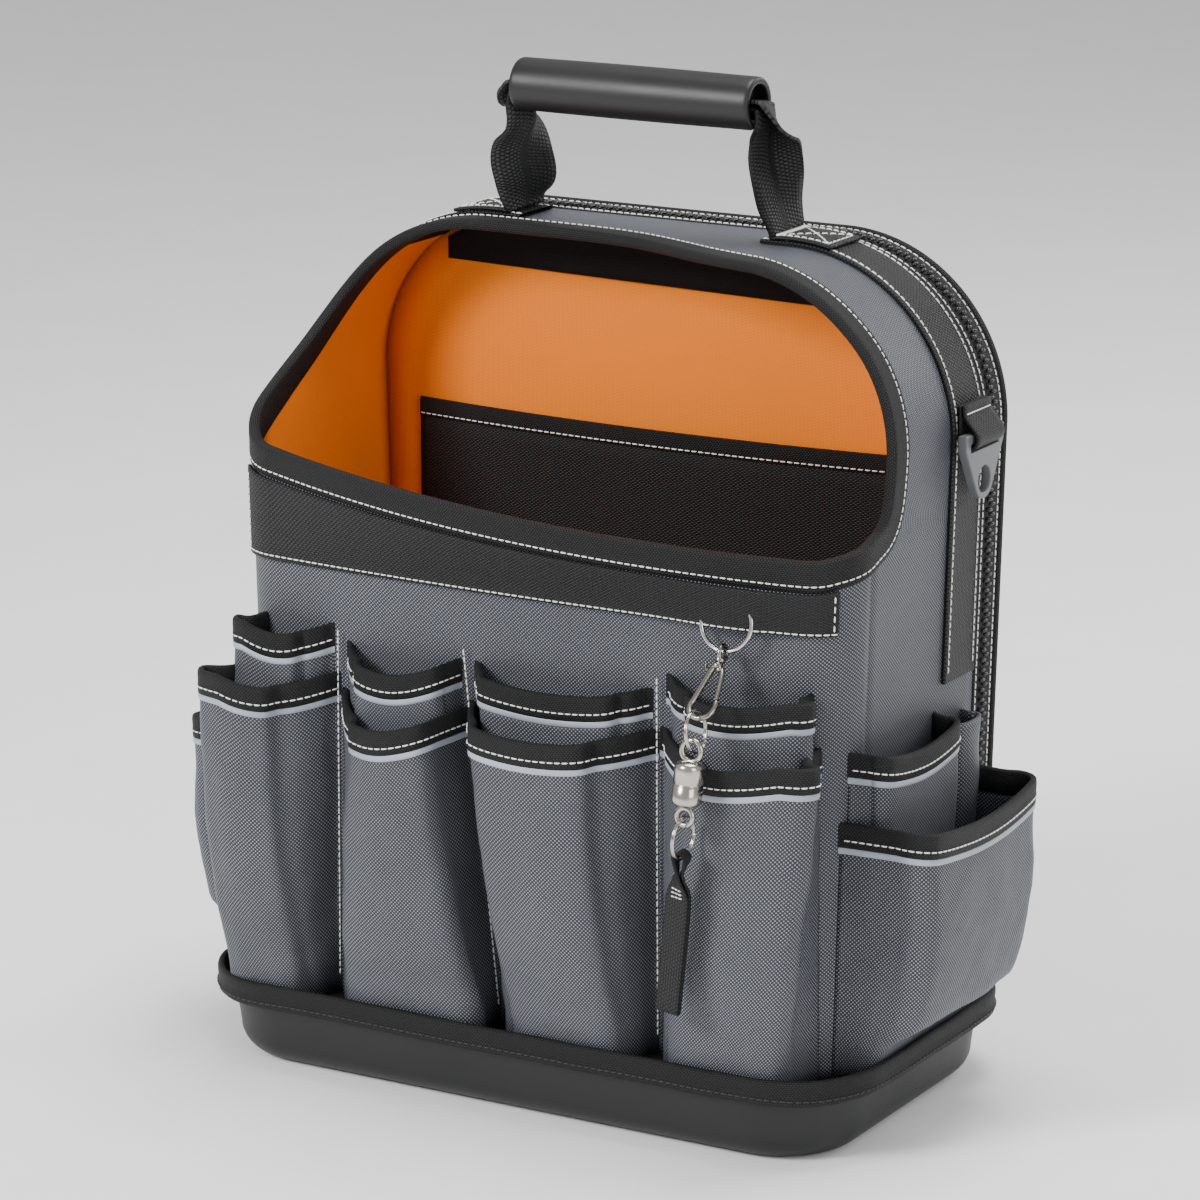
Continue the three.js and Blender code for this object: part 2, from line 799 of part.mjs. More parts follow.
// Front band, pulled a little off the panel where the lanyard's ring pierces it.
function addFrontBand(ring) {
  const edge = cornerBack - bandEnd;
  const line = frontStations().filter(({ h }) => h <= edge);
  const stations = line.flatMap((s, i) => {
    const next = line[i + 1];
    if (!next || next.side !== s.side || s.side < 0) {
      return [s];
    }
    return [s, { side: s.side, h: (s.h + next.h) / 2, top: (s.top + next.top) / 2 }];
  });
  const skin = (out) => stations.map(({ side, h, top }) => {
    const heights = [bandBottom, (bandBottom + top) / 2, top - gap];
    return heights.map((z, i) => {
      const point = wallAt(side, h, z, out);
      const pull = bandPull * Math.exp(-(((point.x - lanyardX) / bandPullWidth) ** 2));
      point.y -= pull * (1 - 0.2 * i);
      return point;
    });
  });
  const band = solidOf(thickSheet(skin(2 * gap + webbing), skin(2 * gap)));
  addPiece('front_band', geometryOf(band.subtract(solidOf(ring))), 'webbing');
}

// A strip of webbing along stations, each with its place, width and thickness directions
// and its half width and half thickness.
function strip(stations, loop = false) {
  const skin = (sign) => stations.map(({ at, wide, thick, halfWide, halfThick }) => [
    at.clone().addScaledVector(wide, -halfWide).addScaledVector(thick, sign * halfThick),
    at.clone().addScaledVector(wide, halfWide).addScaledVector(thick, sign * halfThick),
  ]);
  return thickSheet(skin(1), skin(-1), loop);
}

const strapLift = gap + webbing;

function addStraps() {
  const topReach = archHalf - strapTopX;
  const stations = [
    strapBottom,
    ...steps(archStraight - strapWidth, archStraight, 1),
    ...steps(archStraight, archStraight + archArc, 10).slice(1),
    topReach,
  ];
  for (const [word, side] of [['right', 1], ['left', -1]]) {
    const line = stations.map((a) => ({ side, a, h: strapCentre - strapWidth / 2 }));
    addArchSheet(`strap_${word}`, 'webbing', line, strapCentre + strapWidth / 2, strapLift, gap);
  }
}

// Handle webbing: from its sewn end on one strap up to the grip, through it and down again.
// x is a share of the way from the grip's end out to the strap's end, y from the grip's axis
// back to the strap's centre, z from the strap up to the grip; width is a share of the
// strap's width and fold of the webbing's two layers; twist turns the face to the front.
const handleTable = [
  { x: 1, y: 1, z: 0, width: 1, fold: 1, twistRight: 0, twistLeft: 0 },
  { x: 0.9, y: 0.97, z: 0.06, width: 1, fold: 1, twistRight: 0, twistLeft: 0.15 },
  { x: 0.7, y: 0.85, z: 0.22, width: 0.98, fold: 1.1, twistRight: 0.05, twistLeft: 0.75 },
  { x: 0.75, y: 0.6, z: 0.42, width: 0.95, fold: 1.2, twistRight: 0.1, twistLeft: 1.15 },
  { x: 0.7, y: 0.4, z: 0.64, width: 0.85, fold: 1.4, twistRight: 0.1, twistLeft: 0.95 },
  { x: 0.85, y: 0.1, z: 0.84, width: 0.62, fold: 1.8, twistRight: 0.05, twistLeft: 0.35 },
  { x: 0.55, y: 0, z: 0.97, width: 0.54, fold: 2, twistRight: 0, twistLeft: 0 },
  { x: 0.2, y: 0, z: 1, width: 0.54, fold: 2, twistRight: 0, twistLeft: 0 },
];

function addHandle() {
  const sewnZ = bodyHeight + strapLift + gap + webbing / 2;
  const gripEnd = gripLength / 2;
  const across = new THREE.Vector3(0, 1, 0);
  const half = (side) => {
    const twist = side > 0 ? 'twistRight' : 'twistLeft';
    const rising = handleTable.map((row) => ({
      at: new THREE.Vector3(
        side * (gripEnd + row.x * (strapTopX - gripEnd + webbing)),
        gripBack + row.y * (strapCentre - gripBack),
        sewnZ + row.z * (gripHeight - sewnZ)),
      halfWide: row.width * strapWidth / 2,
      halfThick: row.fold * webbing / 2,
      twist: side * row[twist],
    }));
    const sewn = {
      ...rising[0],
      at: rising[0].at.clone().setX(side * (strapTopX + webbing + anchorLength)),
    };
    const inGrip = {
      at: new THREE.Vector3(side * gripEnd * 0.85, gripBack, gripHeight),
      halfWide: webInGrip / 2,
      halfThick: webbing,
      twist: 0,
    };
    return [sewn, ...rising, inGrip];
  };
  const line = [...half(-1), ...half(1).reverse()];
  const stations = line.map((s, i) => {
    const before = line[Math.max(0, i - 1)].at;
    const after = line[Math.min(line.length - 1, i + 1)].at;
    const along = i === 0 || i === line.length - 1
      ? new THREE.Vector3(1, 0, 0)
      : after.clone().sub(before).normalize();
    const flat = across.clone().addScaledVector(along, -across.dot(along)).normalize();
    const wide = flat.applyAxisAngle(along, s.twist);
    return { ...s, wide, thick: new THREE.Vector3().crossVectors(along, wide).normalize() };
  });
  addPiece('handle_webbing', strip(stations), 'webbing');
}

function addGrip() {
  const shape = new THREE.Shape();
  const start = -Math.PI / 2 + gripSlot;
  const end = Math.PI * 1.5 - gripSlot;
  shape.absarc(0, 0, gripOuter / 2, start, end, false);
  shape.absarc(0, 0, gripBore / 2, end, start, true);
  const grip = new THREE.ExtrudeGeometry(shape, {
    depth: gripLength,
    bevelEnabled: false,
    curveSegments: 14,
  });
  grip.translate(0, 0, -gripLength / 2);
  grip.rotateY(Math.PI / 2);
  grip.rotateX(Math.PI / 2);
  grip.translate(0, gripBack, gripHeight);
  addPiece('handle_grip', grip, 'grip');
}

// D-rings: a three-cornered plate with a slot under its bar for the webbing loop and a round
// hole below. The bar turns in the loop.
const ringPin = Math.hypot(ringBar, ringThick) / 2;
const ringLoopInner = ringPin + ringPlay / 2;
const ringLoopOuter = ringLoopInner + webbing;
const ringAxisOut = strapLift + gap + ringLoopOuter;

function ringShape() {
  const slotHalf = loopWidth / 2 + ringPlay;
  const slotFoot = -(ringLoopOuter + ringPlay);
  const holeY = -ringDrop + ringTip;
  const shape = new THREE.Shape();
  const top = ringBar / 2;
  const halfTop = ringWidth / 2;
  const lean = Math.atan2(halfTop - ringTip, -holeY);
  shape.moveTo(-halfTop, top);
  shape.lineTo(-halfTop, -ringBar);
  shape.absarc(0, holeY, ringTip, Math.PI + lean, 2 * Math.PI - lean, false);
  shape.lineTo(halfTop, -ringBar);
  shape.lineTo(halfTop, top);
  const slot = new THREE.Path();
  slot.moveTo(-slotHalf, -top);
  slot.lineTo(slotHalf, -top);
  slot.lineTo(slotHalf, slotFoot);
  slot.lineTo(-slotHalf, slotFoot);
  const hole = new THREE.Path();
  hole.absarc(0, holeY, ringHole / 2, 0, 2 * Math.PI, true);
  shape.holes.push(slot, hole);
  return shape;
}

function addRings() {
  for (const [word, side] of [['right', 1], ['left', -1]]) {
    const axisX = side * (archAt(ringAxisHeight).x + ringAxisOut);
    const ring = new THREE.ExtrudeGeometry(ringShape(), {
      depth: ringThick,
      bevelEnabled: false,
      curveSegments: 10,
    });
    ring.translate(0, 0, -ringThick / 2);
    ring.rotateX(Math.PI / 2);
    ring.rotateZ(Math.PI / 2);
    ring.translate(axisX, strapCentre, ringAxisHeight);
    addPiece(`d_ring_${word}`, ring, 'plastic');
    const section = new THREE.Shape();
    const back = -ringLoopOuter;
    section.moveTo(back, loopTail);
    section.lineTo(back, 0);
    section.absarc(0, 0, ringLoopOuter, Math.PI, 2 * Math.PI, false);
    section.lineTo(back + 2 * webbing, loopTail * 0.8);
    section.lineTo(back + 2 * webbing, loopTail);
    const bore = new THREE.Path();
    bore.absarc(0, 0, ringLoopInner, 0, 2 * Math.PI, true);
    section.holes.push(bore);
    const loop = new THREE.ExtrudeGeometry(section, {
      depth: loopWidth,
      bevelEnabled: false,
      curveSegments: 8,
    });
    loop.translate(0, 0, -loopWidth / 2);
    loop.rotateX(Math.PI / 2);
    if (side < 0) {
      loop.rotateZ(Math.PI);
    }
    loop.translate(axisX, strapCentre, ringAxisHeight);
    addPiece(`ring_loop_${word}`, loop, 'webbing');
  }
}

// Lanyard

function bigRing(wire) {
  const ring = new THREE.TorusGeometry(bigRingRadius, wire, 6, 20);
  ring.rotateX(Math.PI / 2 - bigRingTilt);
  const middle = wallAt(1, frontMiddle + lanyardX, bigRingHeight, gap + webbing / 2);
  ring.translate(lanyardX, middle.y - bandPull, bigRingHeight);
  return { ring, middle: new THREE.Vector3(lanyardX, middle.y - bandPull, bigRingHeight) };
}

// Turns a piece made about its own top, hanging along -Z, so that it hangs from one place to
// another. Its X axis stays level.
function hang(geometry, from, to) {
  const up = from.clone().sub(to).normalize();
  const level = new THREE.Vector3(0, 1, 0).cross(up).normalize();
  const front = new THREE.Vector3().crossVectors(up, level);
  geometry.applyMatrix4(new THREE.Matrix4().makeBasis(level, front, up));
  geometry.translate(from.x, from.y, from.z);
  return geometry;
}

function hookGeometry(length) {
  const eyeWire = hookThick / 3;
  const seat = bigRingWire + gap + eyeWire - hookEye;
  const eye = new THREE.TorusGeometry(hookEye, eyeWire, 6, 14);
  eye.rotateY(Math.PI / 2);
  eye.translate(0, 0, seat);
  const collar = new THREE.CylinderGeometry(hookNeck, hookNeck, hookCollar, 10);
  collar.rotateX(Math.PI / 2);
  collar.translate(0, 0, seat - hookEye - hookCollar / 2);
  const top = seat - hookEye - hookCollar * 0.75;
  const foot = -length - splitWire - lanyardPlay - hookBar;
  const middle = foot + hookWidth / 2;
  const outline = new THREE.Shape();
  outline.moveTo(-hookNeck, top);
  outline.absarc(0, middle, hookWidth / 2, Math.PI, 2 * Math.PI, false);
  outline.lineTo(hookNeck, top);
  const opening = new THREE.Path();
  opening.moveTo(0, middle + hookWidth * 0.75);
  opening.absarc(0, middle, hookWidth / 2 - hookBar, 0, Math.PI, true);
  outline.holes.push(opening);
  const plate = new THREE.ExtrudeGeometry(outline, {
    depth: hookThick,
    bevelEnabled: false,
    curveSegments: 8,
  });
  plate.translate(0, 0, -hookThick / 2);
  plate.rotateX(Math.PI / 2);
  return geometryOf(solidOf(eye).add(solidOf(collar)).add(solidOf(plate)));
}

function couplingGeometry(length) {
  const body = [
    [0, couplingNeck],
    [couplingNeck, couplingNeck + couplingHole],
    [couplingNeck, -(length - couplingBody) / 2 + 1],
    [couplingRadius, -(length - couplingBody) / 2],
    [couplingRadius, -(length + couplingBody) / 2],
    [couplingNeck, -(length + couplingBody) / 2 - 1],
    [couplingNeck, -length - couplingHole],
    [0, -length - couplingNeck],
  ];
  const profile = body.map(([r, z]) => new THREE.Vector2(r, z)).reverse();
  const turned = new THREE.LatheGeometry(profile, 14);
  turned.rotateX(Math.PI / 2);
  const flatHeight = 2 * couplingNeck + couplingHole;
  const cutEye = (solid, z, middle, radius) => {
    const hole = new THREE.CylinderGeometry(radius, radius, couplingRadius * 2, 12);
    hole.translate(0, 0, z);
    const flats = [1, -1].map((sign) => {
      const flat = new THREE.BoxGeometry(couplingRadius * 2, couplingRadius, flatHeight);
      return flat.translate(0, sign * (couplingEye + couplingRadius) / 2, middle);
    });
    return [hole, ...flats].reduce((rest, cut) => rest.subtract(solidOf(cut)), solid);
  };
  const topEye = cutEye(solidOf(turned), 0, couplingHole, couplingHole);
  const footMiddle = -length - couplingHole;
  return geometryOf(cutEye(topEye, -length, footMiddle, couplingFootHole));
}

// The tape: a closed hairpin of webbing round the lower split ring, sewn below it, that
// turns a quarter on its way down.
function addTape(from, to) {
  const length = from.distanceTo(to);
  const up = from.clone().sub(to).normalize();
  const level = new THREE.Vector3(0, 1, 0).cross(up).normalize();
  const front = new THREE.Vector3().crossVectors(up, level);
  const loop = steps(0, Math.PI, 4)
    .map((t) => ({ down: -tapeLoop * Math.sin(t), side: tapeLoop * Math.cos(t) }));
  const layer = (shares, side) => shares.map((share) => ({ down: share * length, side }));
  const path = [
    ...loop,
    ...layer(tapeShares, -tapeSplit),
    { down: length + tapeSplit, side: 0 },
    ...layer([...tapeShares].reverse(), tapeSplit),
  ];
  const stations = path.map(({ down, side }) => {
    const turned = smooth(down / (tapeTurned * length));
    const angle = turned * Math.PI / 2;
    const thick = level.clone().multiplyScalar(Math.cos(angle))
      .addScaledVector(front, Math.sin(angle));
    return {
      at: from.clone().addScaledVector(up, -down).addScaledVector(thick, side),
      wide: new THREE.Vector3().crossVectors(up, thick),
      halfWide: (tapeTopWidth + (tapeWidth - tapeTopWidth) * turned) / 2,
    };
  });
  const count = stations.length;
  const framed = stations.map((s, i) => {
    const before = stations[(i + count - 1) % count].at;
    const after = stations[(i + 1) % count].at;
    const along = after.clone().sub(before).normalize();
    const thick = new THREE.Vector3().crossVectors(along, s.wide).normalize();
    return { ...s, thick, halfThick: tapeCloth / 2 };
  });
  addPiece('lanyard_tape', strip(framed, true), 'webbing');
}

function addLanyard(ringMiddle) {
  const ringFoot = ringMiddle.clone().add(new THREE.Vector3(
    0, -bigRingRadius * Math.sin(bigRingTilt), -bigRingRadius * Math.cos(bigRingTilt)));
  const places = [ringFoot, ...lanyardPlaces.map(({ right, out, down }) => (
    new THREE.Vector3(right, -out, -down).multiplyScalar(lanyardLength).add(ringMiddle)))];
  const [hookTop, hookFoot, couplingTop, couplingFoot, tapeTop, tapeEnd] = places;
  addPiece('snap_hook', hang(hookGeometry(hookTop.distanceTo(hookFoot)), hookTop, hookFoot),
    'nickel');
  const split = (name, from, to) => {
    const radius = from.distanceTo(to) / 2;
    const ring = new THREE.TorusGeometry(radius, splitWire, 6, 16);
    ring.rotateY(Math.PI / 2);
    ring.translate(0, 0, -radius);
    addPiece(name, hang(ring, from, to), 'nickel');
  };
  split('split_ring_upper', hookFoot, couplingTop);
  const coupling = couplingGeometry(couplingTop.distanceTo(couplingFoot));
  addPiece('magnet_coupling', hang(coupling, couplingTop, couplingFoot), 'nickel');
  split('split_ring_lower', couplingFoot, tapeTop);
  addTape(tapeTop, tapeEnd);
}

addWalls();
addBack();
addInnerPocket();
addOpeningBinding();
addFoot();
addFrontPockets();
addSidePockets();
addStraps();
addHandle();
addGrip();
addRings();
const { ring: lanyardRing, middle: lanyardMiddle } = bigRing(bigRingWire);
addPiece('lanyard_ring', lanyardRing, 'nickel');
addFrontBand(bigRing(bigRingWire + gap).ring);
addLanyard(lanyardMiddle);

export default tote;
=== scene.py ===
# Dressed model of the open top tote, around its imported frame.
# Sizes are in millimetres here; meshes are made in metres. +Z up, front towards -Y.
import math

import bmesh
import bpy
import numpy as np
from mathutils import Matrix, Vector, noise


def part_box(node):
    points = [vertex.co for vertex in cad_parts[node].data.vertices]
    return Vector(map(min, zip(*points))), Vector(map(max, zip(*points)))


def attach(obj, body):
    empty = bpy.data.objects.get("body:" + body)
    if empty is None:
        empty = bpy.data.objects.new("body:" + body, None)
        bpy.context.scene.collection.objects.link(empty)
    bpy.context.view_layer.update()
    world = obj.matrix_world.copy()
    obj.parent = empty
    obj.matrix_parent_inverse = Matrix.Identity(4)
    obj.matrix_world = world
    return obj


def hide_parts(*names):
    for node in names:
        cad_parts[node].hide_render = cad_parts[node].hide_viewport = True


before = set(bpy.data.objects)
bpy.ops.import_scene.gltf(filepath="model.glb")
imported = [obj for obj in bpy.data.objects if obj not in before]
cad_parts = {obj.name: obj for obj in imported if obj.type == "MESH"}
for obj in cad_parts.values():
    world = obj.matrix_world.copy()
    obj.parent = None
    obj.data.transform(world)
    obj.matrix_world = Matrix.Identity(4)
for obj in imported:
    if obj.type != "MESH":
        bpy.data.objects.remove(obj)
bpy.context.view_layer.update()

MM = 0.001
SIDES = {"right": 1, "left": -1}

# Sizes of the frame that the dressing follows
GAP = 0.3
WALL = 2.0
LINING = 1.0
POCKET = 1.6
WEBBING = 1.6
PROUD = 0.5
BODY_W, BODY_H, ARCH_R, FRONT_Y, CORNER_R = 284.0, 344.0, 72.0, 60.0, 22.0
ZIP_FRONT, BACK_Y, BACK_WELT, TUCK = 57.0, 75.0, 4.0, 6.0
BULGE, BULGE_H = 12.0, 55.0
RIM_Z, RIM_TILT, RIM_CURL, RIM_RUN, RIM_BIND = 245.0, 8.5, 3.5, 50.0, 12.0
FOOT_W, FOOT_D, FOOT_R, FOOT_H, FOOT_EDGE, FOOT_DRAFT = 292.0, 166.0, 38.0, 27.0, 12.0, 2.0
WELT_W, WELT_D, WELT_H, WELT_T = 306.0, 174.0, 10.0, 2.4
BAND_BOTTOM, BAND_END, BAND_PULL, BAND_PULL_W = 211.0, 17.0, 3.4, 24.0
STRAP_W, STRAP_Y, STRAP_BOTTOM, STRAP_TOP_X = 27.0, 41.0, 173.0, 60.0
GRIP_L, GRIP_D, GRIP_BORE, GRIP_SLOT, GRIP_Z, GRIP_Y = 110.0, 22.0, 16.0, 0.45, 400.0, 28.0
LANYARD_X, BIG_RING_Z, BIG_RING_R, BIG_WIRE, BIG_TILT = 93.0, 213.5, 11.0, 0.9, 0.2
LANYARD_PLACES = [(94, -89, 183.5), (95.5, -98.5, 170.5), (94.6, -102, 145),
                  (93.2, -102, 128), (85.3, -98, 64)]

HALF_W = BODY_W / 2
ARCH_Z = BODY_H - ARCH_R
ARCH_ARC = ARCH_R * math.pi / 2
ARCH_HALF = ARCH_Z + ARCH_ARC + HALF_W - ARCH_R
CORNER_Y = CORNER_R - FRONT_Y
ZIP_Y = 66.0
LINING_BACK_Y = ZIP_FRONT - 2 * GAP - 1.6
LINING_SPLIT = 342.0
RIM_COVER, RIM_STITCH = 5.0, 9.6
RINGS_Z, LOOP_HALF = 274.0, 12.0
CORNER_ARC = CORNER_R * math.pi / 2
FRONT_HALF = HALF_W - CORNER_R
FRONT_MID = CORNER_Y - CORNER_ARC - FRONT_HALF
WALL_FOOT = FOOT_H + GAP + 2.4 + GAP
INNER = WALL + GAP + LINING


# Form of the body

def clamp01(value):
    return min(1.0, max(0.0, value))


def smooth(value):
    t = clamp01(value)
    return t * t * (3 - 2 * t)


def tuck_at(z):
    return TUCK * clamp01((ARCH_Z - z) / (ARCH_Z - WALL_FOOT))


def arch_at(a):
    """Place and outward direction on the arch, a being the way up it from the foot."""
    if a <= ARCH_Z:
        return HALF_W - tuck_at(a), a, 1.0, 0.0
    if a < ARCH_Z + ARCH_ARC:
        turn = (a - ARCH_Z) / ARCH_R
        c, s = math.cos(turn), math.sin(turn)
        return HALF_W - ARCH_R + ARCH_R * c, ARCH_Z + ARCH_R * s, c, s
    return ARCH_HALF - a, BODY_H, 0.0, 1.0


def bulge_at(x, z):
    across = clamp01(1 - (x / FRONT_HALF) ** 2)
    return BULGE * across * smooth((z - RIM_Z + BULGE_H) / BULGE_H)


def wall_at(side, h, a, out=0.0):
    """A point on the body: h runs from the front's middle round the corner to the back."""
    if h >= CORNER_Y:
        x, z, nx, nz = arch_at(a)
        return np.array([side * (x + out * nx), h, z + out * nz])
    turn = min((CORNER_Y - h) / CORNER_R, math.pi / 2)
    share = 1 - max(0.0, CORNER_Y - CORNER_ARC - h) / FRONT_HALF
    reach = CORNER_R + out
    x = (HALF_W - tuck_at(a) - CORNER_R) * share + reach * math.cos(turn)
    y = CORNER_Y - reach * math.sin(turn) - bulge_at(x, a)
    return np.array([side * x, y, a])


RIM_TABLE = {
    1: [(0, 0.005), (0.26, 0.043), (0.34, 0.176), (0.38, 0.314), (0.38, 0.433),
        (0.42, 0.552), (0.51, 0.66), (0.66, 0.78)],
    -1: [(0, 0.13), (0.62, 0.23), (0.92, 0.338), (0.99, 0.476), (1.02, 0.6), (1.05, 0.73)],
}


def front_rim(side, share):
    s = side * share
    return RIM_Z - RIM_TILT * s + RIM_CURL * s * s


def rim_controls(side):
    def place(row):
        return CORNER_Y + row[0] * RIM_RUN, RIM_Z + row[1] * (ARCH_HALF - RIM_Z)
    rows = [place(row) for row in RIM_TABLE[side]]
    far_back, far_rise = place(RIM_TABLE[-side][-1])
    corner = front_rim(side, 1)
    return [
        (FRONT_MID - FRONT_HALF / 2, front_rim(side, -0.5)),
        (FRONT_MID, front_rim(side, 0)),
        (FRONT_MID + FRONT_HALF / 2, front_rim(side, 0.5)),
        (FRONT_MID + FRONT_HALF, corner),
        (CORNER_Y - CORNER_ARC / 2, corner + 0.3 * (rows[0][1] - corner)),
        *rows,
        (CORNER_Y + RIM_RUN, ARCH_HALF),
        (far_back, 2 * ARCH_HALF - far_rise),
    ]


def spline(points, t):
    """Uniform Catmull-Rom through the points, t from 0 to 1."""
    points = np.asarray(points, float)
    p = (len(points) - 1) * t
    i = min(int(p), len(points) - 2)
    w = p - i
    p0 = points[max(0, i - 1)]
    p1, p2 = points[i], points[i + 1]
    p3 = points[min(len(points) - 1, i + 2)]
    v0, v1 = (p2 - p0) / 2, (p3 - p1) / 2
    return ((2 * p1 - 2 * p2 + v0 + v1) * w ** 3
            + (-3 * p1 + 3 * p2 - 2 * v0 - v1) * w ** 2 + v0 * w + p1)


def rim_line(side, inset, per_span=10):
    """The opening's edge on one side as (h, a), from the front's middle to the top's."""
    controls = rim_controls(side)
    spans = len(controls) - 1
    line = []
    for k in range((spans - 2) * per_span + 1):
        span = 1 + k / per_span
        p = spline(controls, span / spans)
        along = (spline(controls, (span + 0.02) / spans)
                 - spline(controls, (span - 0.02) / spans))
        along = along / np.linalg.norm(along)
        line.append((p[0] + along[1] * inset, p[1] - along[0] * inset))
    return line


# Materials

class Graph:
    """A material's nodes, with short calls for the few kinds that are used."""

    def __init__(self, name, color, rough, metallic=0.0):
        self.mat = bpy.data.materials.new(name)
        self.mat.use_nodes = True
        self.tree = self.mat.node_tree
        self.shader = self.tree.nodes["Principled BSDF"]
        self.set("Base Color", (*color, 1.0))
        self.set("Roughness", rough)
        self.set("Metallic", metallic)

    def set(self, socket, value):
        target = self.shader.inputs[socket]
        if isinstance(value, bpy.types.NodeSocket):
            self.tree.links.new(value, target)
        else:
            target.default_value = value

    def node(self, kind, inputs=(), **settings):
        made = self.tree.nodes.new(kind)
        for key, value in settings.items():
            setattr(made, key, value)
        for key, value in dict(inputs).items():
            if isinstance(value, bpy.types.NodeSocket):
                self.tree.links.new(value, made.inputs[key])
            else:
                made.inputs[key].default_value = value
        return made

    def math(self, operation, a, b=0.0, c=0.0):
        made = self.node("ShaderNodeMath", {0: a, 1: b, 2: c}, operation=operation)
        return made.outputs[0]

    def uv(self):
        coords = self.node("ShaderNodeTexCoord")
        parts = self.node("ShaderNodeSeparateXYZ", {0: coords.outputs["UV"]})
        return parts.outputs[0], parts.outputs[1]

    def noise(self, scale, detail=3.0):
        coords = self.node("ShaderNodeTexCoord")
        made = self.node("ShaderNodeTexNoise", {
            "Vector": coords.outputs["Object"],
            "Scale": scale,
            "Detail": detail,
            "Roughness": 0.6,
        })
        return made.outputs[0]

    def ridge(self, value, pitch, power=1.0):
        """Bumps of one pitch along a coordinate, 0 between them and 1 on top."""
        wave = self.math("ABSOLUTE", self.math("SINE", self.math(
            "MULTIPLY", value, math.pi / pitch)))
        return self.math("POWER", wave, power)

    def span(self, value, low, high, to_low=0.0, to_high=1.0):
        made = self.node("ShaderNodeMapRange", {
            0: value, 1: low, 2: high, 3: to_low, 4: to_high})
        return made.outputs[0]

    def mix(self, factor, first, second):
        made = self.node("ShaderNodeMix", {0: factor}, data_type="RGBA")
        for index, value in ((6, first), (7, second)):
            if isinstance(value, bpy.types.NodeSocket):
                self.tree.links.new(value, made.inputs[index])
            else:
                made.inputs[index].default_value = (*value, 1.0)
        return made.outputs[2]

    def bump(self, height, depth):
        made = self.node("ShaderNodeBump", {
            "Height": height, "Distance": depth * MM, "Strength": 1.0})
        self.set("Normal", made.outputs[0])


def weave_material(name, dark, light, pitch, depth, rough, under=0.1, gloss=0.3, wear=0.25):
    """Plain weave: a round bump where a thread lies on top, and a lower one where it dips; the
    colour is painted lighter on the tops as highlights and darker in the dips as shade.
    """
    g = Graph(name, light, rough)
    u, v = g.uv()
    cell = g.math("MULTIPLY", g.ridge(u, pitch, 0.8), g.ridge(v, pitch, 0.8))
    sign_u = g.math("SINE", g.math("MULTIPLY", u, math.pi / pitch))
    sign_v = g.math("SINE", g.math("MULTIPLY", v, math.pi / pitch))
    over = g.span(g.math("MULTIPLY", sign_u, sign_v), -0.2, 0.2, under, 1.0)
    height = g.math("MULTIPLY", cell, over)
    fibres = g.noise(1500.0, 2.0)
    patches = g.span(g.noise(9.0, 4.0), 0.35, 0.65)
    # painted light: the colour follows the bump, lighter on the thread tops as painted
    # highlights and darker in the dips as painted shade, varied by random fibres and wear
    # patches
    painted_light_and_grain = g.math("MULTIPLY", height, g.math("MULTIPLY_ADD", fibres, 0.8, 0.6))
    painted_light_and_grain = g.math("MULTIPLY", painted_light_and_grain, g.math("MULTIPLY_ADD", patches, wear, 1 - wear / 2))
    g.set("Base Color", g.mix(painted_light_and_grain, dark, light))
    g.set("Roughness", g.math("MULTIPLY_ADD", fibres, 0.25, rough - 0.12))
    g.set("Specular IOR Level", gloss)
    g.bump(height, depth)
    return g.mat


def tape_material(name, dark, light, pitch, across, depth, rough, gloss=0.25):
    """Woven tape: ribs across it, each a row of thread tops, with painted highlights on the tops
    and painted shade between them.
    """
    g = Graph(name, light, rough)
    u, v = g.uv()
    shift = g.math("MULTIPLY", g.span(g.math("SINE", g.math(
        "MULTIPLY", v, math.pi / across)), -0.3, 0.3), pitch / 2)
    rib = g.ridge(g.math("ADD", u, shift), pitch, 0.8)
    thread = g.ridge(v, across, 0.6)
    height = g.math("MULTIPLY", rib, g.math("MULTIPLY_ADD", thread, 0.8, 0.2))
    fibres = g.noise(1400.0, 2.0)
    # painted light: the colour follows the bump, lighter on the thread tops as painted glints
    # and darker between them as painted shade, varied by random fibres
    painted_light_and_grain = g.math("MULTIPLY", g.math("POWER", height, 1.6),
                  g.math("MULTIPLY_ADD", fibres, 1.0, 0.5))
    g.set("Base Color", g.mix(painted_light_and_grain, dark, light))
    g.set("Roughness", g.math("MULTIPLY_ADD", fibres, 0.25, rough - 0.12))
    g.set("Specular IOR Level", gloss)
    g.bump(height, depth)
    return g.mat


def plain_material(name, color, rough, grain, depth, metallic=0.0, vary=0.25, gloss=0.5):
    """Moulded or plated: a fine grain, with the colour and gloss a little uneven."""
    g = Graph(name, color, rough, metallic)
    fine = g.noise(grain, 3.0)
    patches = g.span(g.noise(14.0, 3.0), 0.3, 0.7)
    worn = tuple(c * (1 + vary) + 0.002 for c in color)
    faded = tuple(c * (1 - vary) for c in color)
    g.set("Base Color", g.mix(patches, faded, worn))
    g.set("Roughness", g.math("MULTIPLY_ADD", g.math("ADD", fine, patches), 0.1, rough - 0.1))
    g.set("Specular IOR Level", gloss)
    g.bump(fine, depth)
    return g.mat


# the light colours of these weaves are painted highlights on the thread tops; the dark ones are
# the cloth's own colour with painted shade in the dips
NYLON = weave_material("ballistic_nylon", (0.007, 0.008, 0.011), (0.3, 0.315, 0.36),
                       0.82, 0.18, 0.5, under=0.08)
LINER = weave_material("orange_lining", (0.74, 0.14, 0.005), (1.0, 0.33, 0.02),
                       0.62, 0.09, 0.62, under=0.55, gloss=0.15, wear=0.12)
DARK_LINER = weave_material("dark_lining", (0.006, 0.004, 0.004), (0.022, 0.017, 0.017),
                            0.9, 0.15, 0.85, under=0.5, gloss=0.1)
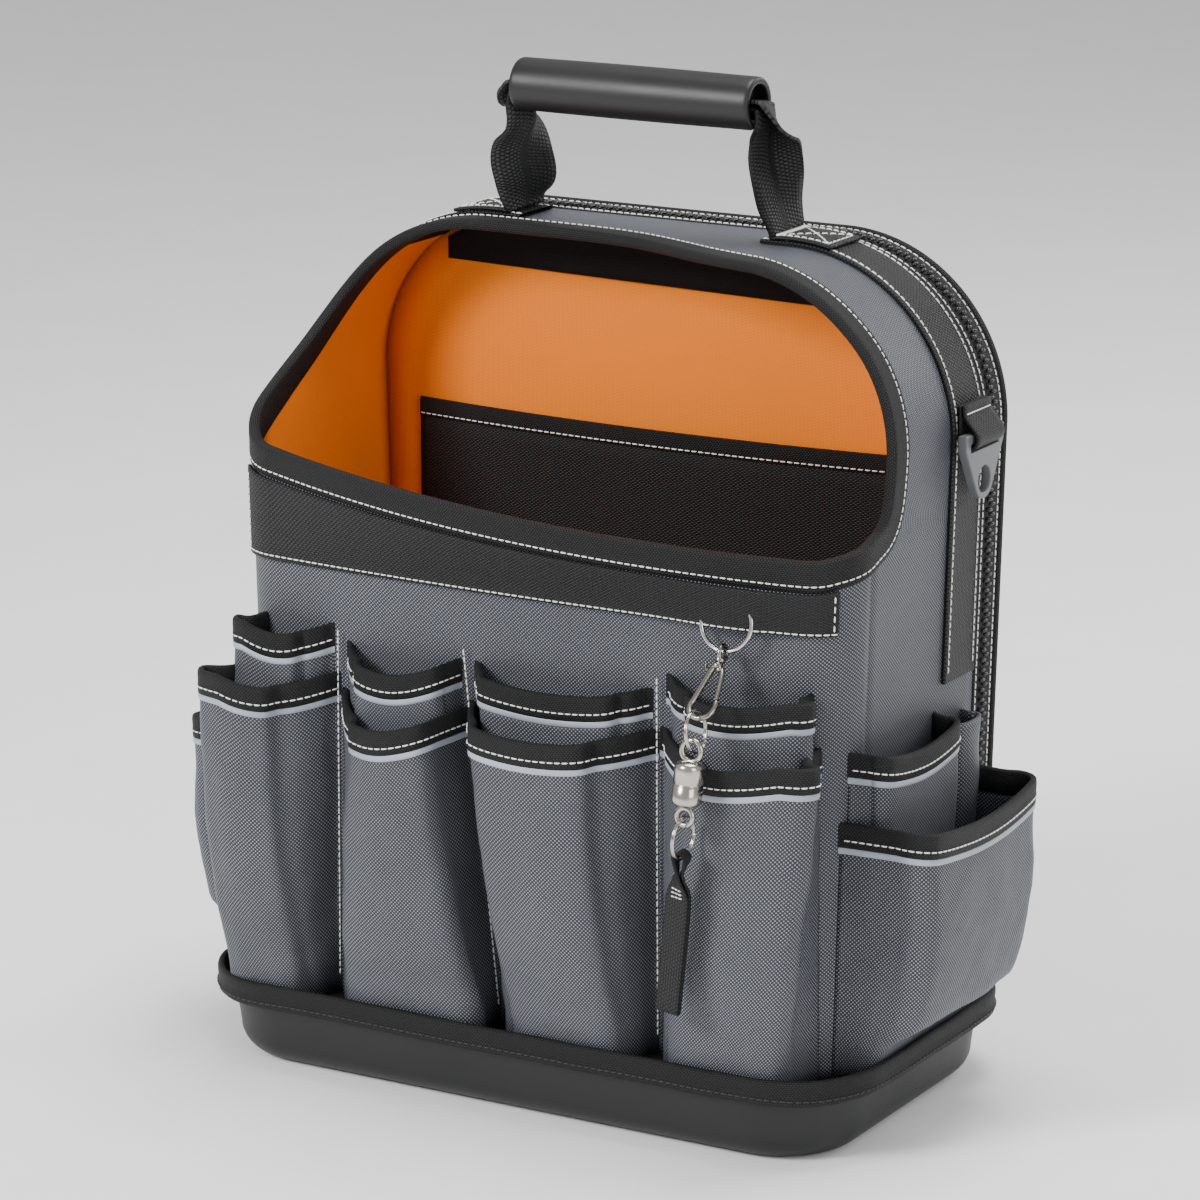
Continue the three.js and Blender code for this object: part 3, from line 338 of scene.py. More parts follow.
# the light colours of these tapes are painted glints on the thread tops of near-black webbing
BAND = tape_material("band_webbing", (0.0012, 0.0012, 0.0014), (0.028, 0.028, 0.03),
                     2.1, 0.75, 0.4, 0.5)
STRAP = tape_material("strap_webbing", (0.0012, 0.0012, 0.0014), (0.028, 0.028, 0.03),
                      1.7, 1.1, 0.4, 0.5)
BINDING = tape_material("binding_tape", (0.0012, 0.0012, 0.0014), (0.02, 0.02, 0.0215),
                        1.3, 0.8, 0.4, 0.58)
PIPING = plain_material("grey_piping", (0.3, 0.33, 0.38), 0.4, 1200.0, 0.06)
THREAD = plain_material("white_thread", (0.82, 0.81, 0.78), 0.6, 2500.0, 0.05, vary=0.08)
DARK_THREAD = plain_material("black_thread", (0.012, 0.012, 0.013), 0.5, 2500.0, 0.05)
FOOT = plain_material("moulded_foot", (0.006, 0.0062, 0.0067), 0.48, 900.0, 0.08, vary=0.2,
                      gloss=0.4)
GRIP = plain_material("soft_grip", (0.006, 0.006, 0.0065), 0.42, 1600.0, 0.04, vary=0.15,
                      gloss=0.4)
PLASTIC = plain_material("ring_plastic", (0.12, 0.125, 0.132), 0.4, 1300.0, 0.04)
TEETH = plain_material("zipper_teeth", (0.009, 0.009, 0.0095), 0.3, 1500.0, 0.03)
SLIDER = plain_material("slider_paint", (0.02, 0.02, 0.021), 0.35, 900.0, 0.03)
NICKEL = plain_material("polished_nickel", (0.46, 0.43, 0.39), 0.2, 260.0, 0.015, 1.0, 0.06)
BRONZE = plain_material("dark_nickel", (0.3, 0.28, 0.25), 0.27, 420.0, 0.02, 1.0, 0.12)
STEEL = plain_material("bright_wire", (0.6, 0.58, 0.55), 0.2, 400.0, 0.015, 1.0, 0.06)


# Mesh helpers

def finish_piece(obj, body="tote", replaced=()):
    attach(obj, body)
    if replaced:
        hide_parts(*replaced)
    return obj


def mesh_object(name, points, faces, material, uvs=None):
    """A mesh from points in millimetres; uvs holds one pair for each face corner."""
    mesh = bpy.data.meshes.new(name)
    mesh.from_pydata([tuple(float(c) * MM for c in p) for p in points], [], faces)
    if uvs is not None:
        layer = mesh.uv_layers.new(name="UVMap")
        layer.data.foreach_set("uv", np.asarray(uvs, np.float32).ravel())
    mesh.polygons.foreach_set("use_smooth", [True] * len(mesh.polygons))
    mesh.materials.append(material)
    mesh.update()
    obj = bpy.data.objects.new(name, mesh)
    bpy.context.scene.collection.objects.link(obj)
    return obj


def grid_faces(ni, nj, wrap_i=False, wrap_j=False):
    faces, corners = [], []
    for i in range(ni if wrap_i else ni - 1):
        for j in range(nj if wrap_j else nj - 1):
            i2, j2 = (i + 1) % ni, (j + 1) % nj
            faces.append((i * nj + j, i2 * nj + j, i2 * nj + j2, i * nj + j2))
            corners.append(((i, j), (i + 1, j), (i + 1, j + 1), (i, j + 1)))
    return faces, corners


def grid(name, rows, material, u=None, v=None, wrap_i=False, wrap_j=False, flip=False,
         thick=0.0, offset=-1.0):
    """A sheet from a grid of places. u along the rows and v across are in millimetres."""
    p = np.asarray(rows, float)
    ni, nj = p.shape[:2]
    faces, corners = grid_faces(ni, nj, wrap_i, wrap_j)
    u = cumulative(closed(p[:, nj // 2])) if u is None else u
    v = cumulative(closed(p[ni // 2])) if v is None else v
    uvs = [(u[i], v[j]) for face in corners for i, j in face]
    if flip:
        faces = [tuple(reversed(f)) for f in faces]
        uvs = [uvs[k + 3 - n] for k in range(0, len(uvs), 4) for n in range(4)]
    obj = mesh_object(name, p.reshape(-1, 3), faces, material, uvs)
    if thick:
        solid = obj.modifiers.new("thickness", "SOLIDIFY")
        solid.thickness = thick * MM
        solid.offset = offset
        solid.use_even_offset = False
    return obj


def closed(points):
    return np.vstack([points, points[:1]])


def full_turns(count):
    return [2 * math.pi * k / count for k in range(count)]


def cumulative(points):
    steps = np.linalg.norm(np.diff(np.asarray(points, float), axis=0), axis=1)
    return np.concatenate([[0.0], np.cumsum(steps)])


def place_along(at, path, way):
    return np.array([np.interp(way, at, path[:, k]) for k in range(3)])


def resample(points, count):
    points = np.asarray(points, float)
    at = cumulative(points)
    want = np.linspace(0, at[-1], count)
    return np.stack([np.interp(want, at, points[:, k]) for k in range(points.shape[1])], 1)


def curve_through(points, count):
    points = np.asarray(points, float)
    dense = [spline(points, k / (8 * len(points))) for k in range(8 * len(points) + 1)]
    return resample(dense, count)


def unit(vector):
    length = np.linalg.norm(vector)
    return vector / length if length else vector


def tube_rows(path, radius, sides, closed=False, start=None):
    """Rings round a path, carried along it without twist."""
    path = np.asarray(path, float)
    n = len(path)
    radii = np.broadcast_to(radius, n)
    rows = []
    normal = None
    for i in range(n):
        before = path[(i - 1) % n] if closed or i else path[0]
        after = path[(i + 1) % n] if closed or i < n - 1 else path[-1]
        along = unit(after - before)
        if normal is None:
            guess = np.array(start if start is not None else (0.0, 0.0, 1.0), float)
            if abs(guess @ along) > 0.95:
                guess = np.array([1.0, 0.0, 0.0])
            normal = guess
        normal = unit(normal - along * (normal @ along))
        side = np.cross(along, normal)
        rows.append([path[i] + radii[i] * (math.cos(t) * normal + math.sin(t) * side)
                     for t in full_turns(sides)])
    return rows


class Heap:
    """Many small shapes gathered into one mesh."""

    def __init__(self):
        self.points, self.faces = [], []

    def add(self, points, faces):
        base = len(self.points)
        self.points.extend(points)
        self.faces.extend(tuple(base + k for k in f) for f in faces)

    def add_tube(self, path, radius, sides=8, closed=False, start=None):
        rows = tube_rows(path, radius, sides, closed, start)
        n = len(rows)
        faces, _ = grid_faces(n, sides, closed, True)
        points = [p for row in rows for p in row]
        if not closed:
            faces.append(tuple(reversed(range(sides))))
            faces.append(tuple(range((n - 1) * sides, n * sides)))
        self.add(points, faces)

    def add_lathe(self, profile, sides, origin, axis, level):
        """Turns (radius, way along the axis) pairs about the axis."""
        axis, level = unit(np.asarray(axis, float)), unit(np.asarray(level, float))
        level = unit(level - axis * (level @ axis))
        other = np.cross(axis, level)
        rows = []
        for radius, way in profile:
            rows.append([np.asarray(origin) + axis * way + radius * (
                math.cos(t) * level + math.sin(t) * other) for t in full_turns(sides)])
        faces, _ = grid_faces(len(rows), sides, False, True)
        faces.append(tuple(reversed(range(sides))))
        faces.append(tuple(range((len(rows) - 1) * sides, len(rows) * sides)))
        self.add([p for row in rows for p in row], faces)

    def object(self, name, material):
        """The heap as one object, each of its closed shapes facing outwards."""
        obj = mesh_object(name, self.points, self.faces, material)
        shape = bmesh.new()
        shape.from_mesh(obj.data)
        bmesh.ops.recalc_face_normals(shape, faces=shape.faces)
        shape.to_mesh(obj.data)
        shape.free()
        return obj


STITCH = {"pitch": 3.1, "length": 2.7, "radius": 0.33}


def stitch_line(heap, path, normals, pitch=None, length=None, radius=None, lift=0.15):
    """Short stitches along a path that lies on a surface, each sunk at its ends."""
    pitch = pitch or STITCH["pitch"]
    length = length or STITCH["length"]
    radius = radius or STITCH["radius"]
    path, normals = np.asarray(path, float), np.asarray(normals, float)
    at = cumulative(path)
    count = max(1, int(at[-1] / pitch))
    step = at[-1] / count
    sides = 5

    for k in range(count):
        middle = (k + 0.5) * step
        ways = [middle - length / 2, middle - length * 0.3, middle + length * 0.3,
                middle + length / 2]
        heights = [lift - radius, lift, lift, lift - radius]
        swell = [0.35, 1.0, 1.0, 0.35]
        line = []
        for way, height in zip(ways, heights):
            n = unit(place_along(at, normals, way))
            line.append(place_along(at, path, way) + n * height)
        n = unit(place_along(at, normals, middle))
        heap.add_tube(line, radius * np.array(swell), sides, start=n)


def stitch_on(heap, places, high, low):
    """Stitches along places(out) at the height high, standing away from those at low."""
    path, base = np.array(places(high)), np.array(places(low))
    stitch_line(heap, path, path - base)


def jitter(p, size, scale=30.0, seed=0.0):
    """A smooth, repeatable unevenness at a place, between -size and size."""
    return size * noise.noise(Vector((p[0] / scale + seed, p[1] / scale, p[2] / scale)))


def wrinkle(rows, size, scale=30.0, seed=0.0, hold=4, keep=None):
    """Moves a sheet's places along its normals by a smooth noise, less near its edges.

    keep gives the share of it at a place."""
    p = np.asarray(rows, float)
    du = np.gradient(p, axis=0)
    dv = np.gradient(p, axis=1)
    normals = np.cross(du, dv)
    lengths = np.linalg.norm(normals, axis=2, keepdims=True)
    normals = normals / np.where(lengths > 0, lengths, 1)
    ni, nj = p.shape[:2]
    for i in range(ni):
        for j in range(nj):
            edge = min(j, nj - 1 - j, i, ni - 1 - i)
            ease = smooth(edge / hold) * (keep(p[i, j]) if keep else 1.0)
            p[i, j] += normals[i, j] * jitter(p[i, j], size * ease, scale, seed)
    return p


# Camera, light, floor

def add_camera():
    azimuth, elevation = math.radians(30.0), math.radians(14.5)
    back = Vector((math.sin(azimuth) * math.cos(elevation),
                   -math.cos(azimuth) * math.cos(elevation), math.sin(elevation)))
    right = Vector((math.cos(azimuth), math.sin(azimuth), 0.0))
    up = back.cross(right)
    data = bpy.data.cameras.new("camera")
    data.lens = 150.0
    data.sensor_width = 36.0
    data.clip_start = 0.05
    camera = bpy.data.objects.new("camera", data)
    bpy.context.scene.collection.objects.link(camera)
    place = Vector((0, 0, 0.190)) + back * 2.0408 - right * 0.00163 + up * 0.00571
    turn = Matrix((right, up, back)).transposed().to_4x4()
    camera.matrix_world = Matrix.Translation(place) @ turn
    bpy.context.scene.camera = camera


def add_light(name, place, aim, size, power):
    data = bpy.data.lights.new(name, "AREA")
    data.shape = "RECTANGLE"
    data.size, data.size_y = size
    data.energy = power
    light = bpy.data.objects.new(name, data)
    bpy.context.scene.collection.objects.link(light)
    light.location = place
    light.rotation_euler = (Vector(aim) - Vector(place)).to_track_quat("-Z", "Y").to_euler()


def add_studio():
    add_light("key", (-0.9, -1.7, 1.3), (0, 0, 0.2), (0.7, 0.7), 50)
    add_light("fill", (1.9, -1.0, 0.9), (0, 0, 0.2), (1.0, 1.2), 16)
    add_light("top", (0.1, 0.3, 1.9), (0, 0, 0.25), (1.0, 1.0), 30)
    add_light("rim", (0.9, 1.7, 1.1), (0, 0, 0.25), (0.9, 1.2), 18)
    world = bpy.data.worlds.new("studio")
    bpy.context.scene.world = world
    world.use_nodes = True
    sky = world.node_tree.nodes["Background"]
    sky.inputs[0].default_value = (1.0, 1.0, 1.0, 1.0)
    sky.inputs[1].default_value = 0.6
    rows = [[(x, y, 0.0) for y in (-6000.0, 6000.0)] for x in (-6000.0, 6000.0)]
    floor = grid("studio_floor", rows, plain_material("pale_floor", (0.93, 0.93, 0.93),
                                                      0.7, 60.0, 0.01, vary=0.01))


# Body walls

def front_top(side, h, inset):
    line = [(x, a) for x, a in rim_line(side, inset) if x <= CORNER_Y + 12]
    return float(np.interp(h, [p[0] for p in line], [p[1] for p in line]))


def front_sheet(name, material, out, thick, flip):
    span = CORNER_Y - FRONT_MID
    columns = np.linspace(-span, span, 97)
    rows = []
    for s in columns:
        side = 1 if s >= 0 else -1
        h = FRONT_MID + abs(s)
        top = front_top(side, h, RIM_COVER)
        rows.append([wall_at(side, h, z, out) for z in np.linspace(WALL_FOOT, top, 42)])
    return grid(name, rows, material, u=columns, v=np.linspace(WALL_FOOT, 250, 42),
                flip=flip, thick=thick)


def gusset_rows(side, low, high, out, back):
    """Rows over one side from the opening's edge to the back, and their ways up the arch."""
    line = [(h, a) for h, a in rim_line(side, RIM_COVER) if h > CORNER_Y]
    seam = line[0][1]
    stations = [(CORNER_Y, a) for a in np.linspace(WALL_FOOT, seam, 34)[:-1]] + line
    heights = [a for _, a in stations]
    fronts = [h for h, _ in stations]
    ways = np.linspace(low, high, max(2, int((high - low) / 4)))
    rows = []
    for a in ways:
        h0 = float(np.interp(a, heights, fronts))
        rows.append([wall_at(side, h, a, out) for h in np.linspace(h0, back, 15)])
    return rows, ways


def over_arch(low, out, back):
    """The same rows from the right side over the top to the left side."""
    right, ways = gusset_rows(1, low, ARCH_HALF, out, back)
    left, others = gusset_rows(-1, low, ARCH_HALF, out, back)
    return right + left[::-1][1:], [*ways, *(2 * ARCH_HALF - a for a in others[::-1][1:])]


def add_walls():
    sheet = front_sheet("front_cloth", NYLON, 0.0, WALL, False)
    finish_piece(sheet, replaced=["front_panel"])
    sheet = front_sheet("front_lining_cloth", LINER, -INNER, LINING, True)
    finish_piece(sheet, replaced=["lining_front"])
    rows, u = over_arch(WALL_FOOT, 0.0, ZIP_FRONT)
    rows = wrinkle(rows, 0.7, 45.0,
                   keep=lambda q: smooth((STRAP_Y - STRAP_W / 2 - 2 - q[1]) / 14))
    sheet = grid("gusset_cloth", rows, NYLON, u=u, v=np.linspace(0, 90, 15), flip=True,
                 thick=WALL)
    finish_piece(sheet, replaced=["gusset"])
    for word, side in SIDES.items():
        rows, ways = gusset_rows(side, WALL_FOOT, LINING_SPLIT, -INNER, LINING_BACK_Y)
        sheet = grid(f"side_lining_{word}", wrinkle(rows, 0.6, 40.0, 3.0), LINER, u=ways,
                     v=np.linspace(0, 88, 15), flip=side < 0, thick=LINING)
        finish_piece(sheet, replaced=[f"lining_{word}"])
    rows, u = over_arch(LINING_SPLIT, -INNER, LINING_BACK_Y)
    sheet = grid("top_lining", rows, DARK_LINER, u=u, v=np.linspace(0, 60, 15),
                 thick=LINING)
    finish_piece(sheet, replaced=["lining_top"])


def arch_plate(name, material, inset, y, depth, flip, seed):
    """A panel in the arch's outline, its middle standing proud by depth."""
    ways = list(np.linspace(WALL_FOOT, ARCH_Z, 20)) + list(
        np.linspace(ARCH_Z, ARCH_Z + ARCH_ARC, 24)[1:]) + list(
        np.linspace(ARCH_Z + ARCH_ARC, ARCH_HALF, 10)[1:])
    foot_line = [(x, WALL_FOOT) for x in np.linspace(-1, 1, 24)[1:-1]]
    outline = []
    for a in ways:
        x, z, nx, nz = arch_at(a)
        outline.append((x - inset * nx, z - inset * nz))
    outline += [(-x, z) for x, z in outline[::-1][1:]]
    half = outline[0][0]
    outline += [(x * half, z) for x, z in foot_line]
    outline = np.array(outline)
    centre, rings = np.array([0.0, 185.0]), 12
    points = []
    for k in range(rings + 1):
        share = 1 - k / (rings + 0.5)
        proud = depth * smooth((1 - share) * 2.2)
        for x, z in centre + (outline - centre) * share:
            points.append((x, y + proud + jitter((x, 0, z), 0.5 * smooth((1 - share) * 5),
                                                 55.0, seed), z))
    n = len(outline)
    faces, _ = grid_faces(rings + 1, n, False, True)
    faces.append(tuple(rings * n + k for k in reversed(range(n))))
    if flip:
        faces = [tuple(reversed(f)) for f in faces]
    uvs = [(points[i][0], points[i][2]) for f in faces for i in f]
    obj = mesh_object(name, points, faces, material, uvs)
    solid = obj.modifiers.new("thickness", "SOLIDIFY")
    solid.thickness = 1.6 * MM
    solid.offset = -1
    return obj


def tape_fold(width, low, high, round_off=0.9):
    """A folded tape's section as (inset from the edge, out from the cloth)."""
    r = round_off
    return [
        (width + 0.3, 0.02), (width + 0.1, high * 0.8), (width - 0.5, high),
        (width * 0.75, high + 0.08), (width * 0.5, high), (width * 0.25, high + 0.08),
        (r * 1.2, high), (r * 0.4, high - 0.35 * r), (-0.1, high - 1.2 * r),
        (-0.3, (low + high) / 2), (-0.1, low + 1.2 * r), (r * 0.4, low + 0.35 * r),
        (r * 1.2, low), (width * 0.5, low), (width - 0.5, low), (width + 0.1, low * 0.9),
        (width + 0.3, -INNER + 0.02),
    ]


def add_opening_binding(stitches):
    section = tape_fold(RIM_BIND, -INNER - PROUD, PROUD + 0.35)
    lines = {}
    for inset in {s[0] for s in section} | {RIM_STITCH}:
        lines[inset] = {side: rim_line(side, inset, 8) for side in (1, -1)}

    def ring(inset, out):
        right = [wall_at(1, h, a, out) for h, a in lines[inset][1]]
        left = [wall_at(-1, h, a, out) for h, a in lines[inset][-1]]
        return right + left[1:-1][::-1]

    rows = list(zip(*(ring(inset, out) for inset, out in section)))
    obj = grid("opening_tape", rows, BINDING, wrap_i=True, wrap_j=True, flip=True)
    finish_piece(obj, replaced=["opening_binding"])
    stitch_on(stitches, lambda out: closed(ring(RIM_STITCH, out)), PROUD + 0.35, 0.0)


def along_arch(h, out, low, steps=170):
    """Places and normals along the arch at one depth, right foot to left foot."""
    ways = np.linspace(low, ARCH_HALF, steps)
    right = [wall_at(1, h, a, out) for a in ways]
    left = [wall_at(-1, h, a, out) for a in ways[::-1][1:]]
    path = np.array(right + left)
    foot = np.array([wall_at(1, h, a, out - 1) for a in ways]
                    + [wall_at(-1, h, a, out - 1) for a in ways[::-1][1:]])
    return path, path - foot


def add_back(stitches):
    plate = arch_plate("back_cloth", NYLON, WALL + GAP, BACK_Y + 2 * GAP + 1.7, 2.5, False, 2.0)
    finish_piece(plate, replaced=["back_panel"])
    plate = arch_plate("back_lining_cloth", LINER, WALL + 3 * GAP, 56.6 - 1.5, -1.2, True, 5.0)
    finish_piece(plate, replaced=["lining_back"])
    xs = np.linspace(-106.0, 106.0, 54)
    rows = [[(x, 52.8, z) for z in np.linspace(317.0 - 0.02 * x, top_height(x, 0.0) - 6.0, 6)]
            for x in xs]
    strip = grid("lining_strip", rows, DARK_LINER, u=xs, v=np.linspace(0, 20, 6), thick=0.8)
    finish_piece(strip)
    section = [(ZIP_FRONT + 0.3, -0.6), (ZIP_FRONT + 0.4, 0.25), (60.2, 0.35), (61.6, 0.1),
               (63.0, -0.2), (66.0, -0.3), (69.0, -0.2), (70.4, 0.1), (71.8, 0.35),
               (BACK_Y - 0.4, 0.25), (BACK_Y - 0.3, -0.6)]
    columns = [along_arch(h, out, WALL_FOOT)[0] for h, out in section]
    rows = np.stack(columns, 1)
    tape = grid("zipper_cloth", rows, BINDING, flip=True, thick=1.0)
    finish_piece(tape, replaced=["zipper_tape"])
    path, _ = along_arch(BACK_Y + BACK_WELT / 2, -0.9, FOOT_H + WELT_H + 1.5)
    rows = tube_rows(path, 2.1, 12)
    obj = grid("back_piping", rows, BINDING, wrap_j=True)
    finish_piece(obj, replaced=["back_binding"])
    for h in (59.2, 72.8):
        path, normals = along_arch(h, 0.35, 45.0)
        stitch_line(stitches, path, normals)
    teeth = Heap()
    path, normals = along_arch(ZIP_Y, 0.0, 60.0, 260)
    at = cumulative(path)
    pitch = 2.1
    for k in range(int(at[-1] / pitch)):
        way = (k + 0.5) * pitch
        p, n = place_along(at, path, way), unit(place_along(at, normals, way))
        side = 1 if k % 2 else -1
        ends = [p + n * 0.45 + np.array([0, side * w, 0]) for w in (3.0, 2.2, 0.4, -0.7)]
        ends[1] = ends[1] + n * 0.5
        ends[2] = ends[2] + n * 0.55
        teeth.add_tube(ends, np.array([0.45, 0.8, 0.85, 0.5]), 6, start=n)
    obj = teeth.object("zipper_elements", TEETH)
    finish_piece(obj, replaced=["zipper_coil"])


def add_inner_pocket(stitches):
    half = HALF_W - TUCK - INNER - 12
    top = 258.0

    def place(x, share, offset):
        crown = clamp01(1 - (x / half) ** 2)
        out = 9 * crown * share ** 2 + offset
        return np.array([x, LINING_BACK_Y - out, WALL_FOOT + share * (top - WALL_FOOT)])

    xs = np.linspace(-half, half, 61)
    rows = [[place(x, s, POCKET) for s in np.linspace(0, 0.97, 32)] for x in xs]
    obj = grid("inner_pocket_cloth", wrinkle(rows, 0.7, 35.0, 8.0), BAND, u=xs,
               v=np.linspace(0, 222, 32), thick=1.4)
    finish_piece(obj, replaced=["inner_pocket"])
    section = [(0.965, 1.5), (0.965, 2.0), (0.98, 2.1), (0.995, 2.0), (1.0, 1.4), (1.0, 0.6),
               (0.995, 0.0), (0.98, -0.1), (0.965, 0.0), (0.965, 0.4)]
    rows = [[place(x, s, o) for s, o in section] for x in xs]
    obj = grid("inner_pocket_tape", rows, BINDING, u=xs, wrap_j=True)
    finish_piece(obj)
    path = np.array([place(x, 0.97, 2.0) for x in xs])
    stitch_line(stitches, path, np.tile((0.0, -1.0, 0.0), (len(xs), 1)))


# Foot

def rounded_ring(half_x, half_y, radius, z, per_corner=14, per_side=12):
    """A rounded rectangle, anticlockwise, with places along its straight sides too."""
    points = []
    corners = [(1, 1, 0), (-1, 1, 1), (-1, -1, 2), (1, -1, 3)]
    for sx, sy, quarter in corners:
        cx, cy = sx * (half_x - radius), sy * (half_y - radius)
        for k in range(per_corner + 1):
            turn = (quarter + k / per_corner) * math.pi / 2
            points.append((cx + radius * math.cos(turn), cy + radius * math.sin(turn), z))
    dense = []
    for i, p in enumerate(points):
        q = points[(i + 1) % len(points)]
        dense.append(p)
        if i % (per_corner + 1) == per_corner:
            for k in range(1, per_side):
                t = k / per_side
                dense.append(tuple(p[c] + (q[c] - p[c]) * t for c in range(3)))
    return dense


def add_foot(dark_stitches):
    half_x, half_y = FOOT_W / 2, FOOT_D / 2

    def ring(inset, z):
        return rounded_ring(half_x - inset, half_y - inset,
                            FOOT_R - min(inset, FOOT_R / 2), z)
    turns = [k / 10 * math.pi / 2 for k in range(11)]
    rows = [ring(60, 0.0), ring(FOOT_DRAFT + FOOT_EDGE + 1.5, 0.0)]
    rows += [ring(FOOT_DRAFT + FOOT_EDGE * (1 - math.sin(t)), FOOT_EDGE * (1 - math.cos(t)))
             for t in turns[1:]]
    rows += [ring(1.6, 15.0), ring(0.9, 20.0), ring(0.3, 25.0), ring(0.2, FOOT_H - 0.6),
             ring(1.0, FOOT_H), ring(3.0, FOOT_H), ring(3.0, 16.0)]
    obj = grid("foot_shell", rows, FOOT, wrap_j=True, flip=True)
    finish_piece(obj, replaced=["base_tub"])

    pad = [rounded_ring(half_x - 60, half_y - 60, 19, 0.0)]
    pad.append([(x * 0.02, y * 0.02, 0.0) for x, y, _ in pad[0]])
    obj = grid("foot_underside", pad, FOOT, wrap_j=True, flip=False)
    finish_piece(obj)

    inset = WELT_T + GAP
    floor = [rounded_ring(WELT_W / 2 - inset - d, WELT_D / 2 - inset - d,
                          FOOT_R + 2 - inset - min(d, 20), FOOT_H + GAP + z)
             for d, z in ((0, 0), (0, 2.0), (0.5, 2.4), (30, 2.4))]
    floor.append([(x * 0.02, y * 0.02, FOOT_H + GAP + 2.4) for x, y, _ in floor[0]])
    obj = grid("floor_board", floor, DARK_LINER, wrap_j=True, flip=True)
    finish_piece(obj, replaced=["floor_panel"])

    def welt(out, z):
        points = rounded_ring(WELT_W / 2 + out, WELT_D / 2 + out, FOOT_R + 2 + out, z)
        moved = []
        for x, y, zz in points:
            wave = jitter((x, y, 0), 1.0, 38.0, 4.0)
            moved.append((x, y, zz + wave * 0.9))
        return moved
    section = [(-2.3, -0.2), (-0.8, -0.5), (0.1, 0.3), (0.35, 1.4), (0.3, 3.4), (0.1, 5.0),
               (0.3, 6.6), (0.3, 8.6), (0.0, 9.6), (-0.9, 10.2), (-2.0, 10.1), (-2.5, 9.4),
               (-2.5, 1.0)]
    rows = list(zip(*(welt(out, FOOT_H + z) for out, z in section)))
    obj = grid("foot_welt", rows, BINDING, wrap_i=True, wrap_j=True, flip=True)
    finish_piece(obj, replaced=["base_binding"])
    path = np.array(welt(0.35, FOOT_H + 2.2))
    normals = np.array([(x / WELT_W, y / WELT_D, 0.0) for x, y, _ in path])
    stitch_line(dark_stitches, closed(path), closed(normals))


# Pockets

# rise, how far out and how crowned as shares of the pocket's depth, how much like its foot
POCKET_ROWS = np.array([(0, 0.7, 0, 1), (0.25, 0.9, 0.04, 0.7), (0.6, 1, 0.06, 0.3),
                        (1, 0.94, 0.05, 0)], float)
POCKET_BIND = 10.0


def section_line(spec, row, offset):
    """The pocket's cloth in plan: out along its left leg, across its front and back."""
    out = row["out"]
    radius = min(9.0, out * 0.45)
    start, stop = row["left"], row["right"]
    left = start + row["pull_left"]
    right = stop - row["pull_right"]
    pleat = spec["pleat"] * min(1.0, out / spec["out"])
    line = [(start, 0.0), ((start + left) / 2 + pleat, out * 0.5)]
    for turn in (0, math.pi / 4, math.pi / 2):
        line.append((left + radius * (1 - math.cos(turn)), out - radius * (1 - math.sin(turn))))
    for t in (0.25, 0.5, 0.75):
        u = left + radius + (right - left - 2 * radius) * t
        line.append((u, out + row["crown"] * 4 * t * (1 - t)))
    for turn in (math.pi / 2, math.pi / 4, 0):
        line.append((right - radius * (1 - math.cos(turn)),
                     out - radius * (1 - math.sin(turn))))
    line.append(((stop + right) / 2 - pleat, out * 0.5))
    line.append((stop, 0.0))
    dense = curve_through(line, 57)
    ahead = np.vstack([dense[1:], dense[-1:]])
    behind = np.vstack([dense[:1], dense[:-1]])
    step = ahead - behind
    step /= np.linalg.norm(step, axis=1, keepdims=True)
    return dense + offset * np.stack([-step[:, 1], step[:, 0]], 1)


def section_points(spec, row, offset):
    line = section_line(spec, row, offset)
    points = []
    for i, (u, out) in enumerate(line):
        share = clamp01((u - row["left"]) / (row["right"] - row["left"]))
        z = row["z"] - row["dip"] * math.sin(math.pi * share)
        end = min(i, len(line) - 1 - i)
        low = spec["drop"](u, z) + GAP
        if end < 4:
            out = low + (max(out, low) - low) * end / 4
        points.append(spec["place"](u, out, z))
    return points


def pocket_row(spec, rise, hem):
    table = POCKET_ROWS
    foot = FOOT_H + WELT_H + 2 * GAP
    curve = [float(np.interp(rise, table[:, 0], table[:, k])) for k in (1, 2, 3)]
    soft = [float(np.interp(rise + d, table[:, 0], table[:, 1])) for d in (-0.12, 0.12)]
    out = spec["out"] * (curve[0] * 0.5 + sum(soft) * 0.25)
    at_foot = min(out, spec["foot_out"])
    ease = smooth(rise / 0.2)
    open_share = 1 - curve[2]
    pulls = [spec["pulls"][k] * (1 - open_share) + spec["hem_pulls"][k] * open_share
             for k in (0, 1)]
    shift = [spec["seam_shift"][k] * (1 - rise) for k in (0, 1)]
    return {
        "z": foot + rise * (hem - foot),
        "out": at_foot + (out - at_foot) * ease,
        "crown": curve[1] * spec["out"],
        "dip": rise * spec["dip"],
        "left": spec["left"] + shift[0],
        "right": spec["right"] + shift[1],
        "pull_left": spec["inset"] + pulls[0],
        "pull_right": spec["inset"] + pulls[1],
    }


